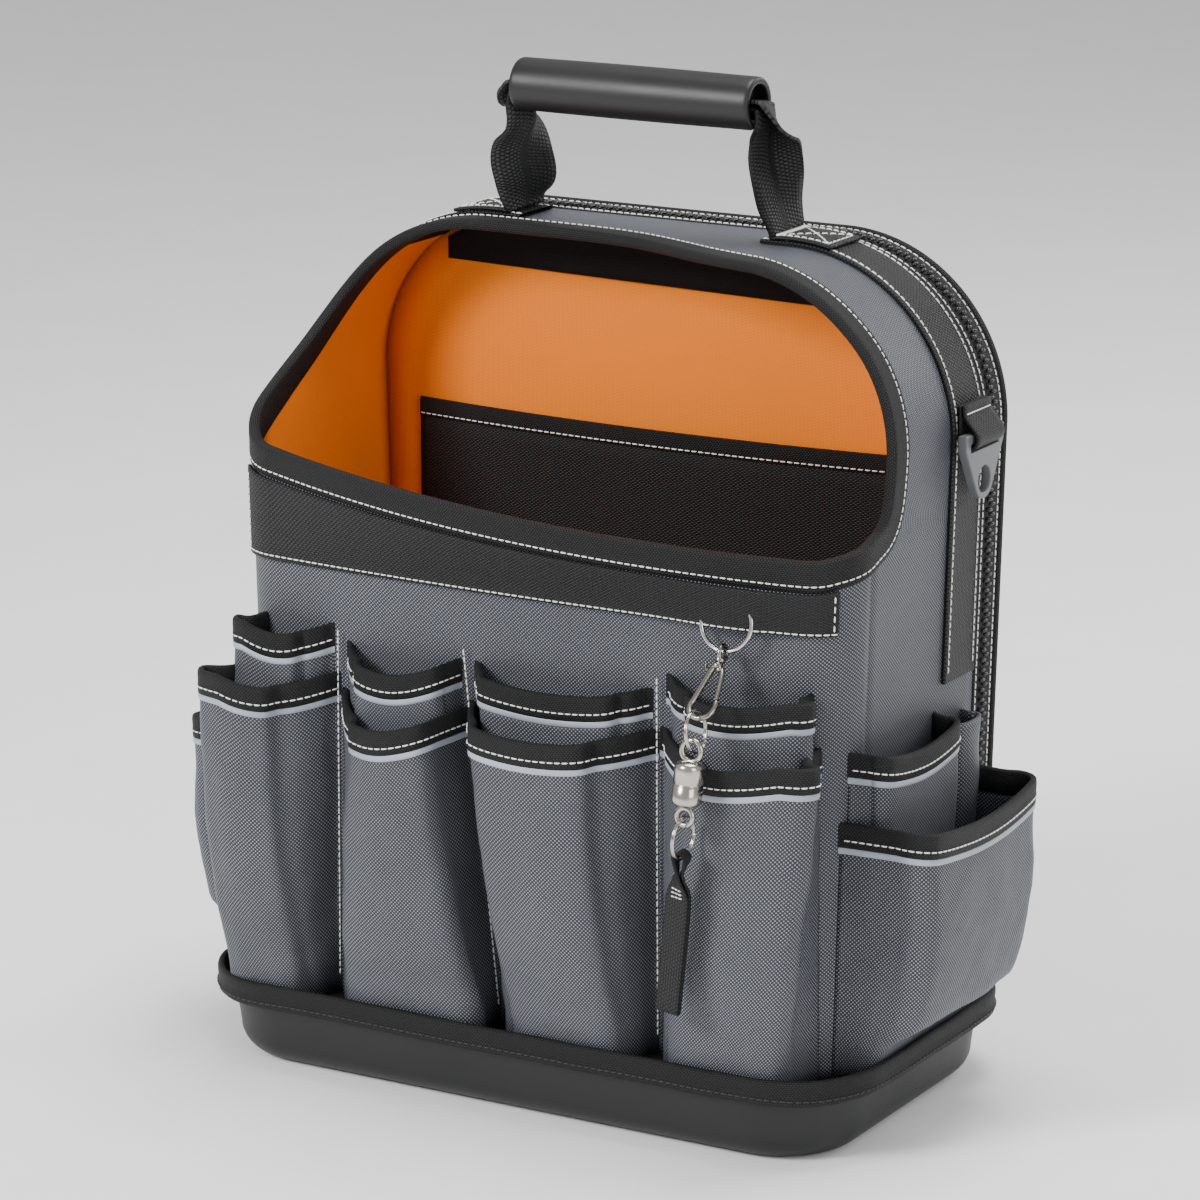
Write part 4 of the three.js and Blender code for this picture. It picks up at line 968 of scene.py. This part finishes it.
def add_pocket(name, spec, stitches):
    hem = spec["top"] - POCKET_BIND - GAP
    rises = np.linspace(0, 1, 34)
    rows = [pocket_row(spec, r, hem) for r in rises]
    foot = {**rows[0], "z": spec["foot"]}
    columns = [section_points(spec, row, 0.0) for row in [foot] + rows]
    sheet = np.stack([np.array(c) for c in columns], 1)
    sheet = wrinkle(sheet, 1.1, 24.0, spec["seed"], hold=3)
    sheet = wrinkle(sheet, 0.35, 8.0, spec["seed"] + 9, hold=3)
    heights = [spec["foot"]] + [row["z"] for row in rows]
    u = cumulative(columns[18])
    obj = grid(f"{name}_cloth", sheet, NYLON, u=u, v=heights, flip=spec["flip"], thick=1.4)
    finish_piece(obj, replaced=[name])
    hem_row = rows[-1]
    if not spec["bound"]:
        return
    outer, inner = PROUD + 0.25, -POCKET - PROUD
    w = POCKET_BIND
    section = [(0.0, 0.05), (0.1, outer), (w * 0.3, outer + 0.1), (w * 0.5, outer),
               (w * 0.75, outer + 0.1), (w - 0.9, outer), (w - 0.2, outer - 0.4),
               (w + 0.1, -0.2), (w + 0.1, -1.3), (w - 0.2, inner + 0.3), (w - 0.9, inner),
               (w * 0.5, inner), (0.1, inner), (0.0, -POCKET - 0.05)]

    def hem_rows(section, low):
        return list(zip(*(section_points(spec, {**hem_row, "z": low + lift}, offset)
                          for lift, offset in section)))

    obj = grid(f"{name}_tape", hem_rows(section, hem + GAP), BINDING, wrap_j=True,
               flip=spec["flip"])
    finish_piece(obj, replaced=[f"{name}_binding"])
    pipe = [(0.5, -0.2), (0.4, 0.5), (-0.1, 0.7), (-1.2, 0.72), (-2.0, 0.6), (-2.35, 0.25),
            (-2.4, -0.2)]
    obj = grid(f"{name}_piping", hem_rows(pipe, hem), PIPING, wrap_j=True,
               flip=not spec["flip"])
    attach(obj, "tote")
    stitch_on(stitches, lambda out: section_points(
        spec, {**hem_row, "z": hem + GAP + 3.0}, out)[1:-1], outer + 0.12, outer - 0.9)


def corner_drop(beyond):
    turned = min(max(0.0, beyond), CORNER_R * 0.98)
    return math.sqrt(CORNER_R ** 2 - turned ** 2) - CORNER_R


# Front columns: seams and tops as shares of the panel's width and of the rows' heights.
# pulls and hem_pulls are how far the two legs lean in, at the foot and at the hem, in
# millimetres; seam_shift is how far the seams have moved over at the foot.
COLUMNS = [
    {"left": 0, "right": 0.187, "upper": 1, "lower": 1.005, "dip": 0.9,
     "pulls": (-7.5, 6.0), "hem_pulls": (-15.0, 16.0), "seam_shift": (0, -1)},
    {"left": 0.187, "right": 0.401, "upper": 0.965, "lower": 0.967, "dip": 1.7,
     "pulls": (10.0, -2.0), "hem_pulls": (16.5, 4.0), "seam_shift": (-1, 15)},
    {"left": 0.401, "right": 0.711, "upper": 0.963, "lower": 0.985, "dip": 1.0,
     "pulls": (13.0, 5.0), "hem_pulls": (12.0, 16.0), "seam_shift": (15, 1)},
    {"left": 0.711, "right": 1, "upper": 1, "lower": 0.995, "dip": 1.3,
     "pulls": (10.0, 2.0), "hem_pulls": (24.0, -13.0), "seam_shift": (1, 0)},
]
LOWER_TOP, LOWER_OUT, UPPER_TOP, UPPER_OUT = 167.0, 31.0, 188.0, 17.0
SEAM_FOOT, SEAM_RUN, SEAM_OUT, SEAM_SAMPLES = 37, 140, 2.4, 30
NEST = POCKET + PROUD + 2 * GAP
NEST_FOOT = WALL_FOOT + POCKET + 2 * GAP


def add_front_pockets(stitches):
    reach = HALF_W - TUCK - 6

    def place(u, out, z):
        return np.array([u, -FRONT_Y - out, z])

    def drop(u, z):
        return corner_drop(abs(u) - FRONT_HALF + tuck_at(z))

    foot_out = WELT_D / 2 - WELT_T - FRONT_Y - 3 * GAP
    for i, column in enumerate(COLUMNS):
        left = max(-HALF_W + column["left"] * BODY_W, -reach) + GAP + PROUD
        right = min(-HALF_W + column["right"] * BODY_W, reach) - GAP - PROUD
        shared = {"place": place, "drop": drop, "bound": True, "dip": 4.0 * column["dip"],
                  "pleat": 2.0, "flip": False, "seam_shift": column["seam_shift"]}
        add_pocket(f"pocket_lower_{i + 1}", {
            **shared, "left": left, "right": right, "foot": WALL_FOOT,
            "top": LOWER_TOP * column["lower"], "out": LOWER_OUT,
            "foot_out": foot_out, "inset": 1.0,
            "pulls": column["pulls"], "hem_pulls": column["hem_pulls"],
            "seed": 11.0 + i}, stitches)
        share = UPPER_OUT / LOWER_OUT
        add_pocket(f"pocket_upper_{i + 1}", {
            **shared, "left": left + NEST, "right": right - NEST, "foot": NEST_FOOT,
            "top": UPPER_TOP * column["upper"], "out": UPPER_OUT, "foot_out": 8.5,
            "inset": 1.0,
            "pulls": tuple(p * share for p in column["pulls"]),
            "hem_pulls": tuple(p * share for p in column["hem_pulls"]),
            "seed": 21.0 + i}, stitches)
    for column in COLUMNS[:-1]:
        x = -HALF_W + column["right"] * BODY_W
        way = [(x + column["seam_shift"][1] * (1 - (z - SEAM_FOOT) / SEAM_RUN),
                -FRONT_Y - SEAM_OUT, z) for z in np.linspace(38, 186, SEAM_SAMPLES)]
        stitch_line(stitches, way, np.tile((0.0, -1.0, 0.0), (SEAM_SAMPLES, 1)))


def add_side_pockets(stitches):
    foot_out = WELT_W / 2 - WELT_T - HALF_W + TUCK - 3 * GAP
    for word, side in SIDES.items():
        def place(u, out, z, side=side):
            return np.array([side * (HALF_W - tuck_at(z) + out), u, z])

        def drop(u, z):
            return corner_drop(CORNER_Y - u)
        shared = {"place": place, "drop": drop, "pleat": 2.0, "dip": 4.0, "bound": True,
                  "pulls": (2.0, 2.0), "hem_pulls": (0.0, 0.0), "seam_shift": (0, 0),
                  "flip": side < 0}
        add_pocket(f"pocket_{word}_lower", {
            **shared, "left": -50.0, "right": 52.0, "foot": WALL_FOOT, "top": 135.0,
            "out": 38.0, "foot_out": foot_out, "inset": 1.0, "pulls": (2.0, 8.0),
            "seed": 31.0 + side}, stitches)
        add_pocket(f"pocket_{word}_upper", {
            **shared, "left": -50.0 + NEST, "right": 23.0, "foot": NEST_FOOT, "top": 163.0,
            "out": 15.0, "foot_out": foot_out / 2, "inset": 2.0, "seed": 41.0 + side},
            stitches)
        add_pocket(f"pocket_{word}_rear", {
            **shared, "left": 23.0 + PROUD + GAP, "right": 52.0 - NEST, "foot": NEST_FOOT,
            "top": 168.0, "out": 12.0, "foot_out": foot_out / 2, "inset": 2.0,
            "pulls": (2.0, 8.0), "dip": 0.0, "bound": False, "seed": 51.0 + side}, stitches)


# Webbing

def band_point(s, share, out, inset=RIM_BIND + GAP):
    side = 1 if s >= 0 else -1
    h = FRONT_MID + abs(s)
    top = front_top(side, h, inset)
    z = BAND_BOTTOM + (top - GAP - BAND_BOTTOM) * share
    p = wall_at(side, h, z, out)
    pull = BAND_PULL * math.exp(-(((p[0] - LANYARD_X) / BAND_PULL_W) ** 2))
    crease = 1.1 * math.exp(-(((p[0] - LANYARD_X - 13) / 2.2) ** 2)) * (1 - 0.4 * share)
    p[1] -= pull * (1 - 0.4 * share) + crease
    return p


def add_front_band(stitches):
    end = CORNER_Y - BAND_END - FRONT_MID
    columns = np.linspace(-end, end, 181)
    top_out, low_out = 2 * GAP + WEBBING, 2 * GAP
    section = [(0.0, low_out), (0.0, top_out - 0.4), (0.015, top_out)]
    section += [(t, top_out) for t in np.linspace(0.05, 0.95, 11)]
    section += [(1.0, top_out - 0.2), (1.0, low_out)]
    rows = [[band_point(s, share, out) for share, out in section] for s in columns]
    v = [0, 1.2, 1.8] + list(np.linspace(3, 24, 11)) + [25, 26, 50]
    obj = grid("band_cloth", rows, BAND, u=columns, v=v, wrap_j=True, flip=False)
    finish_piece(obj, replaced=["front_band"])
    low_edge, ends = 0.06, np.linspace(0.08, 0.94, 12)
    stitch_on(stitches, lambda out: [band_point(s, low_edge, out) for s in columns],
              top_out, top_out - 1)
    for end_s in (-end + 1.6, end - 1.6):
        stitch_on(stitches, lambda out, s=end_s: [band_point(s, t, out) for t in ends],
                  top_out + 0.05, top_out - 1)


def strap_section(half, low, high):
    return [(-half, low), (-half, high - 0.5), (-half + 0.5, high), (-half + 2.0, high - 0.12),
            (0.0, high), (half - 2.0, high - 0.12), (half - 0.5, high), (half, high - 0.5),
            (half, low)]


def add_straps(stitches):
    half = STRAP_W / 2
    lift = GAP + WEBBING
    top = ARCH_HALF - STRAP_TOP_X + 4
    for word, side in SIDES.items():
        ways = np.linspace(STRAP_BOTTOM, top, 120)
        rows = [[wall_at(side, STRAP_Y + w, a, out) for w, out in strap_section(half, GAP, lift)]
                for a in ways]
        v = [0, 1.5, 2.0, 4.0, 13.5, 23.0, 25.0, 26.0, 27.5, 55]
        obj = grid(f"strap_{word}_cloth", rows, STRAP, u=ways, v=v, wrap_j=True,
                   flip=side < 0)
        finish_piece(obj, replaced=[f"strap_{word}"])
        for w in (-half + 2.4, half - 2.4):
            stitch_on(stitches, lambda out, y=STRAP_Y + w, side=side: [
                wall_at(side, y, a, out) for a in ways[2:]], lift, 0)


HANDLE_TABLE = [
    # out, back, rise, fold in degrees, twist right, twist left
    (1, 1, 0, 0, 0, 0),
    (0.9, 0.97, 0.06, 4, 0, 0.15),
    (0.7, 0.85, 0.22, 14, 0.05, 0.75),
    (0.75, 0.6, 0.42, 34, 0.1, 1.15),
    (0.7, 0.4, 0.64, 72, 0.1, 0.95),
    (0.85, 0.1, 0.84, 138, 0.05, 0.35),
    (0.55, 0, 0.97, 168, 0, 0),
    (0.2, 0, 1, 172, 0, 0),
]


def top_height(x, out):
    """Height of the arch over the straps' middle, that far out of its surface."""
    ways = np.linspace(ARCH_Z, ARCH_HALF, 60)
    places = np.array([wall_at(1, STRAP_Y, a, out) for a in ways])[::-1]
    return float(np.interp(abs(x), places[:, 0], places[:, 2]))


def handle_side(side):
    """Stations of one side of the handle: place, fold angle and twist."""
    sewn_z = BODY_H + GAP + WEBBING + GAP + WEBBING / 2
    grip_end = GRIP_L / 2
    reach = STRAP_TOP_X - grip_end + WEBBING
    rising = []
    for out, back, rise, fold, right, left in HANDLE_TABLE:
        twist = (right if side > 0 else left) * side
        rising.append((side * (grip_end + out * reach), GRIP_Y + back * (STRAP_Y - GRIP_Y),
                       sewn_z + rise * (GRIP_Z - sewn_z), fold, twist))
    sewn = []
    for x in (87.6, 80.0, 72.0, 65.0):
        sewn.append((side * x, STRAP_Y, top_height(x, 2 * GAP + 1.5 * WEBBING), 0.0, 0.0))
    inside = [(side * grip_end * 0.85, GRIP_Y, GRIP_Z, 174.0, 0.0)]
    return sewn, rising, inside


def add_handle(stitches):
    for word, side in SIDES.items():
        sewn, rising, inside = handle_side(side)
        keys = np.array(sewn + rising + inside, float)
        stations = np.array([spline(keys, k / 72) for k in range(73)])
        rows = []
        across = np.array([0.0, 1.0, 0.0])
        for i, (x, y, z, fold, twist) in enumerate(stations):
            at = np.array([x, y, z])
            before, after = stations[max(0, i - 1)][:3], stations[min(72, i + 1)][:3]
            along = unit(after - before) * -side
            flat = unit(across - along * (across @ along))
            wide = (flat * math.cos(twist) + np.cross(along, flat) * math.sin(twist))
            thick = unit(np.cross(along, wide))
            angle = math.radians(max(0.0, fold))
            half = STRAP_W / 2
            soft = 1.4
            line = [(-half, 0.0), (-half * 0.66, 0), (-half * 0.33, 0.0), (-soft, 0.0)]
            for k in range(1, 6):
                bend = angle * k / 5
                radius = soft * 2 / max(angle, 0.35)
                if angle < 0.35:
                    line.append((-soft + soft * 2 * k / 5, soft * 2 * k / 5 * angle / 2))
                else:
                    line.append((-soft + radius * math.sin(bend),
                                 radius * (1 - math.cos(bend))))
            ex, ey = line[-1]
            for k in range(1, 4):
                reach = (half - soft) * k / 3
                line.append((ex + reach * math.cos(angle), ey + reach * math.sin(angle)))
            line = np.array(line)
            middle = (line.min(0) + line.max(0)) / 2
            rows.append([at + wide * (w - middle[0]) + thick * (t - middle[1])
                         for w, t in line])
        obj = grid(f"handle_{word}_cloth", rows, STRAP, v=np.linspace(0, 27, 12),
                   flip=side < 0, thick=1.4, offset=0.0)
        finish_piece(obj, replaced=["handle_webbing"] if side > 0 else ())
        lift = 2 * GAP + 2 * WEBBING + 0.1
        x0, x1 = side * 63.5, side * 85.5
        y0, y1 = STRAP_Y - 10.8, STRAP_Y + 10.8
        box = [(x0, y0), (x1, y0), (x1, y1), (x0, y1)]
        lines = [(box[k], box[(k + 1) % 4]) for k in range(4)]
        lines += [(box[0], box[2]), (box[1], box[3])]
        for start, stop in lines:
            path = []
            for t in (0, 0.25, 0.5, 0.75, 1):
                x = start[0] + (stop[0] - start[0]) * t
                path.append((x, start[1] + (stop[1] - start[1]) * t, top_height(x, lift)))
            stitch_line(stitches, path, np.tile((0.0, 0.0, 1.0), (5, 1)), lift=0.1)
        tack = []
        for k in range(25):
            x = side * (STRAP_TOP_X + (4.6 if k % 2 else 2.6))
            tack.append((x, STRAP_Y - 12.0 + k, top_height(x, lift)))
        stitches.add_tube(tack, 0.5, 6, start=(0.0, 0.0, 1.0))


def add_grip():
    outer, inner = GRIP_D / 2, GRIP_BORE / 2
    turns = np.linspace(-math.pi / 2 + GRIP_SLOT, 1.5 * math.pi - GRIP_SLOT, 49)
    half = GRIP_L / 2
    profile = [(half - 5.5, outer, inner), (half - 2.0, outer, inner),
               (half - 0.9, outer - 0.1, inner), (half - 0.35, outer - 0.35, inner + 0.1),
               (half, outer - 0.9, inner + 0.6)]
    ways = [(-x, r, q) for x, r, q in profile[::-1]]
    ways += [(x, outer + 0.35 * math.cos(x / half * 1.5) - 0.1, inner)
             for x in np.linspace(-half + 10, half - 10, 13)]
    ways += profile
    rows = []
    for x, r, q in ways:
        ring = [(x, GRIP_Y + r * math.cos(t), GRIP_Z + r * math.sin(t)) for t in turns]
        ring += [(x, GRIP_Y + q * math.cos(t), GRIP_Z + q * math.sin(t)) for t in turns[::-1]]
        rows.append(ring)
    n = len(rows[0])
    faces, _ = grid_faces(len(rows), n, False, True)
    half_n = n // 2
    for base, turn in ((0, False), ((len(rows) - 1) * n, True)):
        for k in range(half_n - 1):
            quad = (base + k, base + k + 1, base + n - 2 - k, base + n - 1 - k)
            faces.append(tuple(reversed(quad)) if turn else quad)
    obj = mesh_object("grip_sleeve", [p for row in rows for p in row], faces, GRIP)
    bevel = obj.modifiers.new("edges", "EDGE_SPLIT")
    bevel.split_angle = math.radians(50)
    finish_piece(obj, replaced=["handle_grip"])


# Rings

def add_rings(stitches):
    pin = math.hypot(4.0, 4.0) / 2
    loop_inner = pin + 0.3
    loop_outer = loop_inner + WEBBING
    axis_out = GAP + WEBBING + GAP + loop_outer
    axis_z = RINGS_Z
    for word, side in SIDES.items():
        axis_x = side * (arch_at(axis_z)[0] + axis_out)
        top, tip, drop = 2.0, 8.0, 26.0
        hole_z = -drop + tip
        half_top = 17.0
        lean = math.atan2(half_top - tip, -hole_z)
        outline = [(-half_top, top), (-half_top, -4.0)]
        for k in range(13):
            t = math.pi + lean + (math.pi - 2 * lean) * k / 12
            outline.append((tip * math.cos(t), hole_z + tip * math.sin(t)))
        outline += [(half_top, -4.0), (half_top, top)]
        slot_half = LOOP_HALF + 0.6
        slot_foot = -(loop_outer + 0.6)
        slot = [(-slot_half, -top), (slot_half, -top), (slot_half, slot_foot),
                (-slot_half, slot_foot)]
        hole = [(5.5 * math.cos(t), hole_z + 5.5 * math.sin(t)) for t in full_turns(24)]
        curve = bpy.data.curves.new(f"ring_{word}_shape", "CURVE")
        curve.dimensions = "2D"
        curve.fill_mode = "BOTH"
        curve.extrude = (2.0 - 0.55) * MM
        curve.bevel_depth = 0.55 * MM
        curve.bevel_resolution = 3
        curve.offset = -0.55 * MM
        for line in (outline, slot, hole):
            run = curve.splines.new("POLY")
            run.points.add(len(line) - 1)
            for point, (y, z) in zip(run.points, line):
                point.co = (y * MM, z * MM, 0.0, 1.0)
            run.use_cyclic_u = True
        helper = bpy.data.objects.new(f"ring_{word}_shape", curve)
        bpy.context.scene.collection.objects.link(helper)
        bpy.context.view_layer.update()
        graph = bpy.context.evaluated_depsgraph_get()
        mesh = bpy.data.meshes.new_from_object(helper.evaluated_get(graph))
        bpy.data.objects.remove(helper)
        turn = Matrix(((0, 0, 1), (1, 0, 0), (0, 1, 0))).to_4x4()
        mesh.transform(Matrix.Translation((axis_x * MM, STRAP_Y * MM, axis_z * MM)) @ turn)
        mesh.materials.clear()
        mesh.materials.append(PLASTIC)
        mesh.polygons.foreach_set("use_smooth", [True] * len(mesh.polygons))
        ring = bpy.data.objects.new(f"ring_plate_{word}", mesh)
        bpy.context.scene.collection.objects.link(ring)
        split = ring.modifiers.new("edges", "EDGE_SPLIT")
        split.split_angle = math.radians(35)
        finish_piece(ring, f"ring_{word}", [f"d_ring_{word}"])

        turns = np.linspace(math.pi, 2 * math.pi, 15)
        back = -loop_outer
        outer = [(back, 13.0), (back, 6.0), (back, 0.0)]
        outer += [(loop_outer * math.cos(t), loop_outer * math.sin(t)) for t in turns[1:]]
        outer += [(loop_outer * 0.94, 1.6), (loop_outer * 0.72, 3.2), (loop_outer * 0.4, 4.9),
                  (back + 2 * WEBBING + 0.8, 8.0), (back + 2 * WEBBING, 10.4),
                  (back + 2 * WEBBING, 13.0)]
        path = curve_through(np.array(outer), 40)
        rows = []
        for w in np.linspace(-LOOP_HALF, LOOP_HALF, 9):
            rows.append([(axis_x + side * x, STRAP_Y + w, axis_z + z) for x, z in path])
        obj = grid(f"ring_loop_{word}_cloth", rows, STRAP, u=np.linspace(0, 24, 9),
                   flip=side < 0, thick=1.5)
        swap = obj.data.uv_layers[0].data
        for item in swap:
            item.uv = (item.uv[1], item.uv[0])
        finish_piece(obj, replaced=[f"ring_loop_{word}"])
        face_x = axis_x + side * (back + 2 * WEBBING + 0.2)
        path = np.array([(face_x, STRAP_Y + w, axis_z + 9.6) for w in (-10.5, 0, 10.5)])
        stitch_line(stitches, path, np.tile((float(side), 0.0, 0.35), (3, 1)), pitch=1.7,
                    length=1.5)


# Lanyard

def hang_frame(top, foot):
    up = unit(np.asarray(top, float) - np.asarray(foot, float))
    level = unit(np.cross((0.0, 1.0, 0.0), up))
    return up, level, np.cross(up, level)


def torus_path(centre, across, up, radius, count):
    return [centre + radius * (math.cos(t) * across + math.sin(t) * up)
            for t in full_turns(count)]


def add_lanyard(stitches):
    centre = wall_at(1, FRONT_MID + LANYARD_X, BIG_RING_Z, GAP + WEBBING / 2)
    centre[0], centre[2] = LANYARD_X, BIG_RING_Z
    centre[1] -= BAND_PULL
    across = np.array([1.0, 0.0, 0.0])
    up = np.array([0.0, math.sin(BIG_TILT), math.cos(BIG_TILT)])
    heap = Heap()
    heap.add_tube(torus_path(centre, across, up, BIG_RING_R, 56), BIG_WIRE, 10, closed=True,
                  start=(0.0, 1.0, 0.0))
    finish_piece(heap.object("lanyard_wire_ring", STEEL),
                 replaced=["lanyard_ring"])
    ring_foot = centre - up * BIG_RING_R
    places = [ring_foot] + [np.array(p, float) for p in LANYARD_PLACES]
    hook_top, hook_foot, top_eye, low_eye, tape_top, tape_end = places
    add_hook(hook_top, hook_foot)
    add_split_ring("upper", hook_foot, top_eye)
    add_coupling(top_eye, low_eye)
    add_split_ring("lower", low_eye, tape_top)
    add_tape(tape_top, tape_end, stitches)


def add_split_ring(word, top, foot):
    up, _, front = hang_frame(top, foot)
    radius = np.linalg.norm(top - foot) / 2
    centre = (top + foot) / 2
    level = np.cross(front, up)
    path = []
    count = 72
    for k in range(count + 1):
        t = 4 * math.pi * k / count
        shift = (k / count - 0.5) * 1.15
        path.append(centre + radius * (math.cos(t) * front + math.sin(t) * up)
                    + level * shift)
    heap = Heap()
    heap.add_tube(path, 0.52, 8, start=level)
    finish_piece(heap.object(f"split_ring_{word}_wire", NICKEL),
                 replaced=[f"split_ring_{word}"])


def add_hook(top, foot):
    up, level, front = hang_frame(top, foot)
    length = np.linalg.norm(top - foot)
    eye_wire = 1.0
    seat = BIG_WIRE + GAP + eye_wire - 3.0
    heap = Heap()

    def at(x, y, z):
        return top + level * x + front * y + up * z
    eye = [at(0, 3.0 * math.cos(t), seat + 3.0 * math.sin(t))
           for t in full_turns(24)]
    heap.add_tube(eye, eye_wire, 8, closed=True, start=level)
    collar = [(0.8, 0.4), (1.7, 0.3), (2.1, -0.2), (2.2, -0.8), (1.7, -1.2), (1.7, -1.9),
              (2.2, -2.3), (2.3, -3.8), (1.6, -4.5)]
    heap.add_lathe([(r, z + seat - 3.0) for r, z in collar], 16, top, up, level)
    width, bar = 13.0, 2.0
    low = -length - 1.1 - 0.8 - bar
    middle = low + width / 2
    neck = seat - 3.0 - 3.6
    loop = [(-1.2, neck), (-2.4, neck - 2.6), (-4.6, middle + 3.4), (-5.4, middle),
            (-4.0, middle - 3.9), (0.0, low + bar / 2), (4.0, middle - 3.9), (5.4, middle),
            (4.9, middle + 3.0)]
    line = curve_through(np.array(loop, float), 40)
    heap.add_tube([at(x, 0, z) for x, z in line], np.linspace(1.45, 1.05, 40), 10,
                  start=front)
    gate = [(1.6, neck - 0.4), (3.1, neck - 3.0), (4.6, middle + 4.2), (4.9, middle + 2.4)]
    line = curve_through(np.array(gate, float), 16)
    heap.add_tube([at(x, 0, z) for x, z in line], np.linspace(1.25, 0.95, 16), 8, start=front)
    lever = [(2.6, neck - 1.6), (4.4, neck - 1.2), (5.4, neck + 0.2), (5.2, neck + 1.2)]
    line = curve_through(np.array(lever, float), 12)
    heap.add_tube([at(-x, 0, z) for x, z in line], np.linspace(1.1, 0.6, 12), 8, start=front)
    for sign in (1, -1):
        rivet = [(1.3, 0.0), (1.3, 0.35), (0.9, 0.75), (0.2, 0.9)]
        heap.add_lathe(rivet, 14, at(1.6, sign * 1.1, neck - 1.2), front * sign, level)
    finish_piece(heap.object("snap_hook_body", BRONZE), replaced=["snap_hook"])


def add_coupling(top, foot):
    up, level, front = hang_frame(top, foot)
    length = np.linalg.norm(top - foot)
    body = 15.0
    start = (length - body) / 2
    profile = [(3.4, start - 1.4), (4.6, start - 0.9), (5.5, start - 0.2), (5.9, start + 0.6),
               (6.0, start + 1.4), (6.0, start + 6.9), (5.6, start + 7.2), (5.6, start + 7.8),
               (6.0, start + 8.1), (6.0, start + 13.6), (5.9, start + 14.4),
               (5.5, start + 15.2), (4.6, start + 15.9), (3.4, start + 16.4)]
    heap = Heap()
    heap.add_lathe([(r, -w) for r, w in profile], 32, top, up, level)
    for eye_at, hole, sign in ((0.0, 3.2, -1), (-length, 2.4, 1)):
        centre = top + up * eye_at
        radius = hole + 0.95
        heap.add_tube(torus_path(centre, level, up, radius, 28), 1.15, 8, closed=True,
                      start=front)
        neck = [(2.7, 0.0), (2.9, 1.2), (3.5, 2.8)]
        base = centre + up * sign * (radius + 0.4)
        heap.add_lathe(neck, 16, base, up * sign, level)
    obj = heap.object("coupling_body", NICKEL)
    finish_piece(obj, replaced=["magnet_coupling"])


def add_tape(top, end, stitches):
    up, level, front = hang_frame(top, end)
    length = np.linalg.norm(top - end)
    turned = 0.28
    loop_r, split = 2.6, 0.95
    path = [(-loop_r * math.sin(t), loop_r * math.cos(t)) for t in np.linspace(0, math.pi, 13)]
    path += [(share * length, -split) for share in np.linspace(0.1, 1, 26)]
    path += [(length + split, 0.0)]
    path += [(share * length, split) for share in np.linspace(1, 0.1, 26)]
    rows = []
    for down, side in path:
        turn = smooth(down / (turned * length))
        angle = turn * math.pi / 2
        thick = level * math.cos(angle) + front * math.sin(angle)
        wide = np.cross(up, thick)
        half = (5.4 + (10.0 - 5.4) * turn) / 2
        place = top - up * down + thick * side
        place = place + front * 1.2 * math.sin(down / length * math.pi) * 0.6
        rows.append([place + wide * (half * w) for w in np.linspace(-1, 1, 7)])
    obj = grid("tape_cloth", rows, STRAP, v=np.linspace(0, 10, 7), wrap_i=True, thick=1.0,
               offset=0.0)
    finish_piece(obj, replaced=["lanyard_tape"])
    for share in (0.2, 0.225, 0.25):
        down = share * length
        turn = smooth(down / (turned * length)) * math.pi / 2
        thick = level * math.cos(turn) + front * math.sin(turn)
        wide = np.cross(up, thick)
        for sign in (1, -1):
            base = top - up * down + thick * sign * (split + 0.6) + front * 0.4
            line = np.array([base - wide * 2.6, base, base + wide * 2.6])
            stitch_line(stitches, line, np.tile(thick * sign, (3, 1)), pitch=1.6, length=1.4,
                        radius=0.32)


def add_slider():
    low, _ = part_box("zipper_slider")
    x0, y0, z0 = (c / MM for c in low)
    heap = Heap()
    middle = np.array([x0 + 1.5, y0 + 4.5, z0 + 6.0])
    outline = [(-3.2, -6), (3.2, -6), (4.5, -2), (4.5, 4.2), (2.6, 6), (-2.6, 6), (-4.5, 4.2),
               (-4.5, -2)]
    rows = []
    for out, scale in ((-1.3, 0.9), (-1.1, 1.0), (1.0, 1.0), (1.3, 0.9)):
        rows.append([middle + np.array([out, y * scale, z * scale]) for y, z in outline])
    faces, _ = grid_faces(4, 8, False, True)
    faces += [tuple(reversed(range(8))), tuple(range(24, 32))]
    heap.add([p for row in rows for p in row], faces)
    pull = [middle + np.array([-2.2, y, z]) for y, z in
            ((0, 4.0), (2.2, 3.0), (2.4, -8.0), (1.6, -14.0), (-1.6, -14.0), (-2.4, -8.0),
             (-2.2, 3.0))]
    heap.add_tube(pull, 0.85, 8, closed=True, start=(1.0, 0.0, 0.0))
    finish_piece(heap.object("slider_body", SLIDER), replaced=["zipper_slider"])


# Everything

add_camera()
add_studio()
heaps = {name: Heap() for name in ("body", "pocket", "strap", "foot")}
add_walls()
add_opening_binding(heaps["body"])
add_back(heaps["body"])
add_inner_pocket(heaps["body"])
add_foot(heaps["foot"])
add_front_pockets(heaps["pocket"])
add_side_pockets(heaps["pocket"])
add_front_band(heaps["body"])
add_straps(heaps["strap"])
add_handle(heaps["strap"])
add_grip()
add_rings(heaps["strap"])
add_lanyard(heaps["strap"])
add_slider()
for name, heap in heaps.items():
    thread = DARK_THREAD if name == "foot" else THREAD
    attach(heap.object(f"{name}_stitches", thread), "tote")
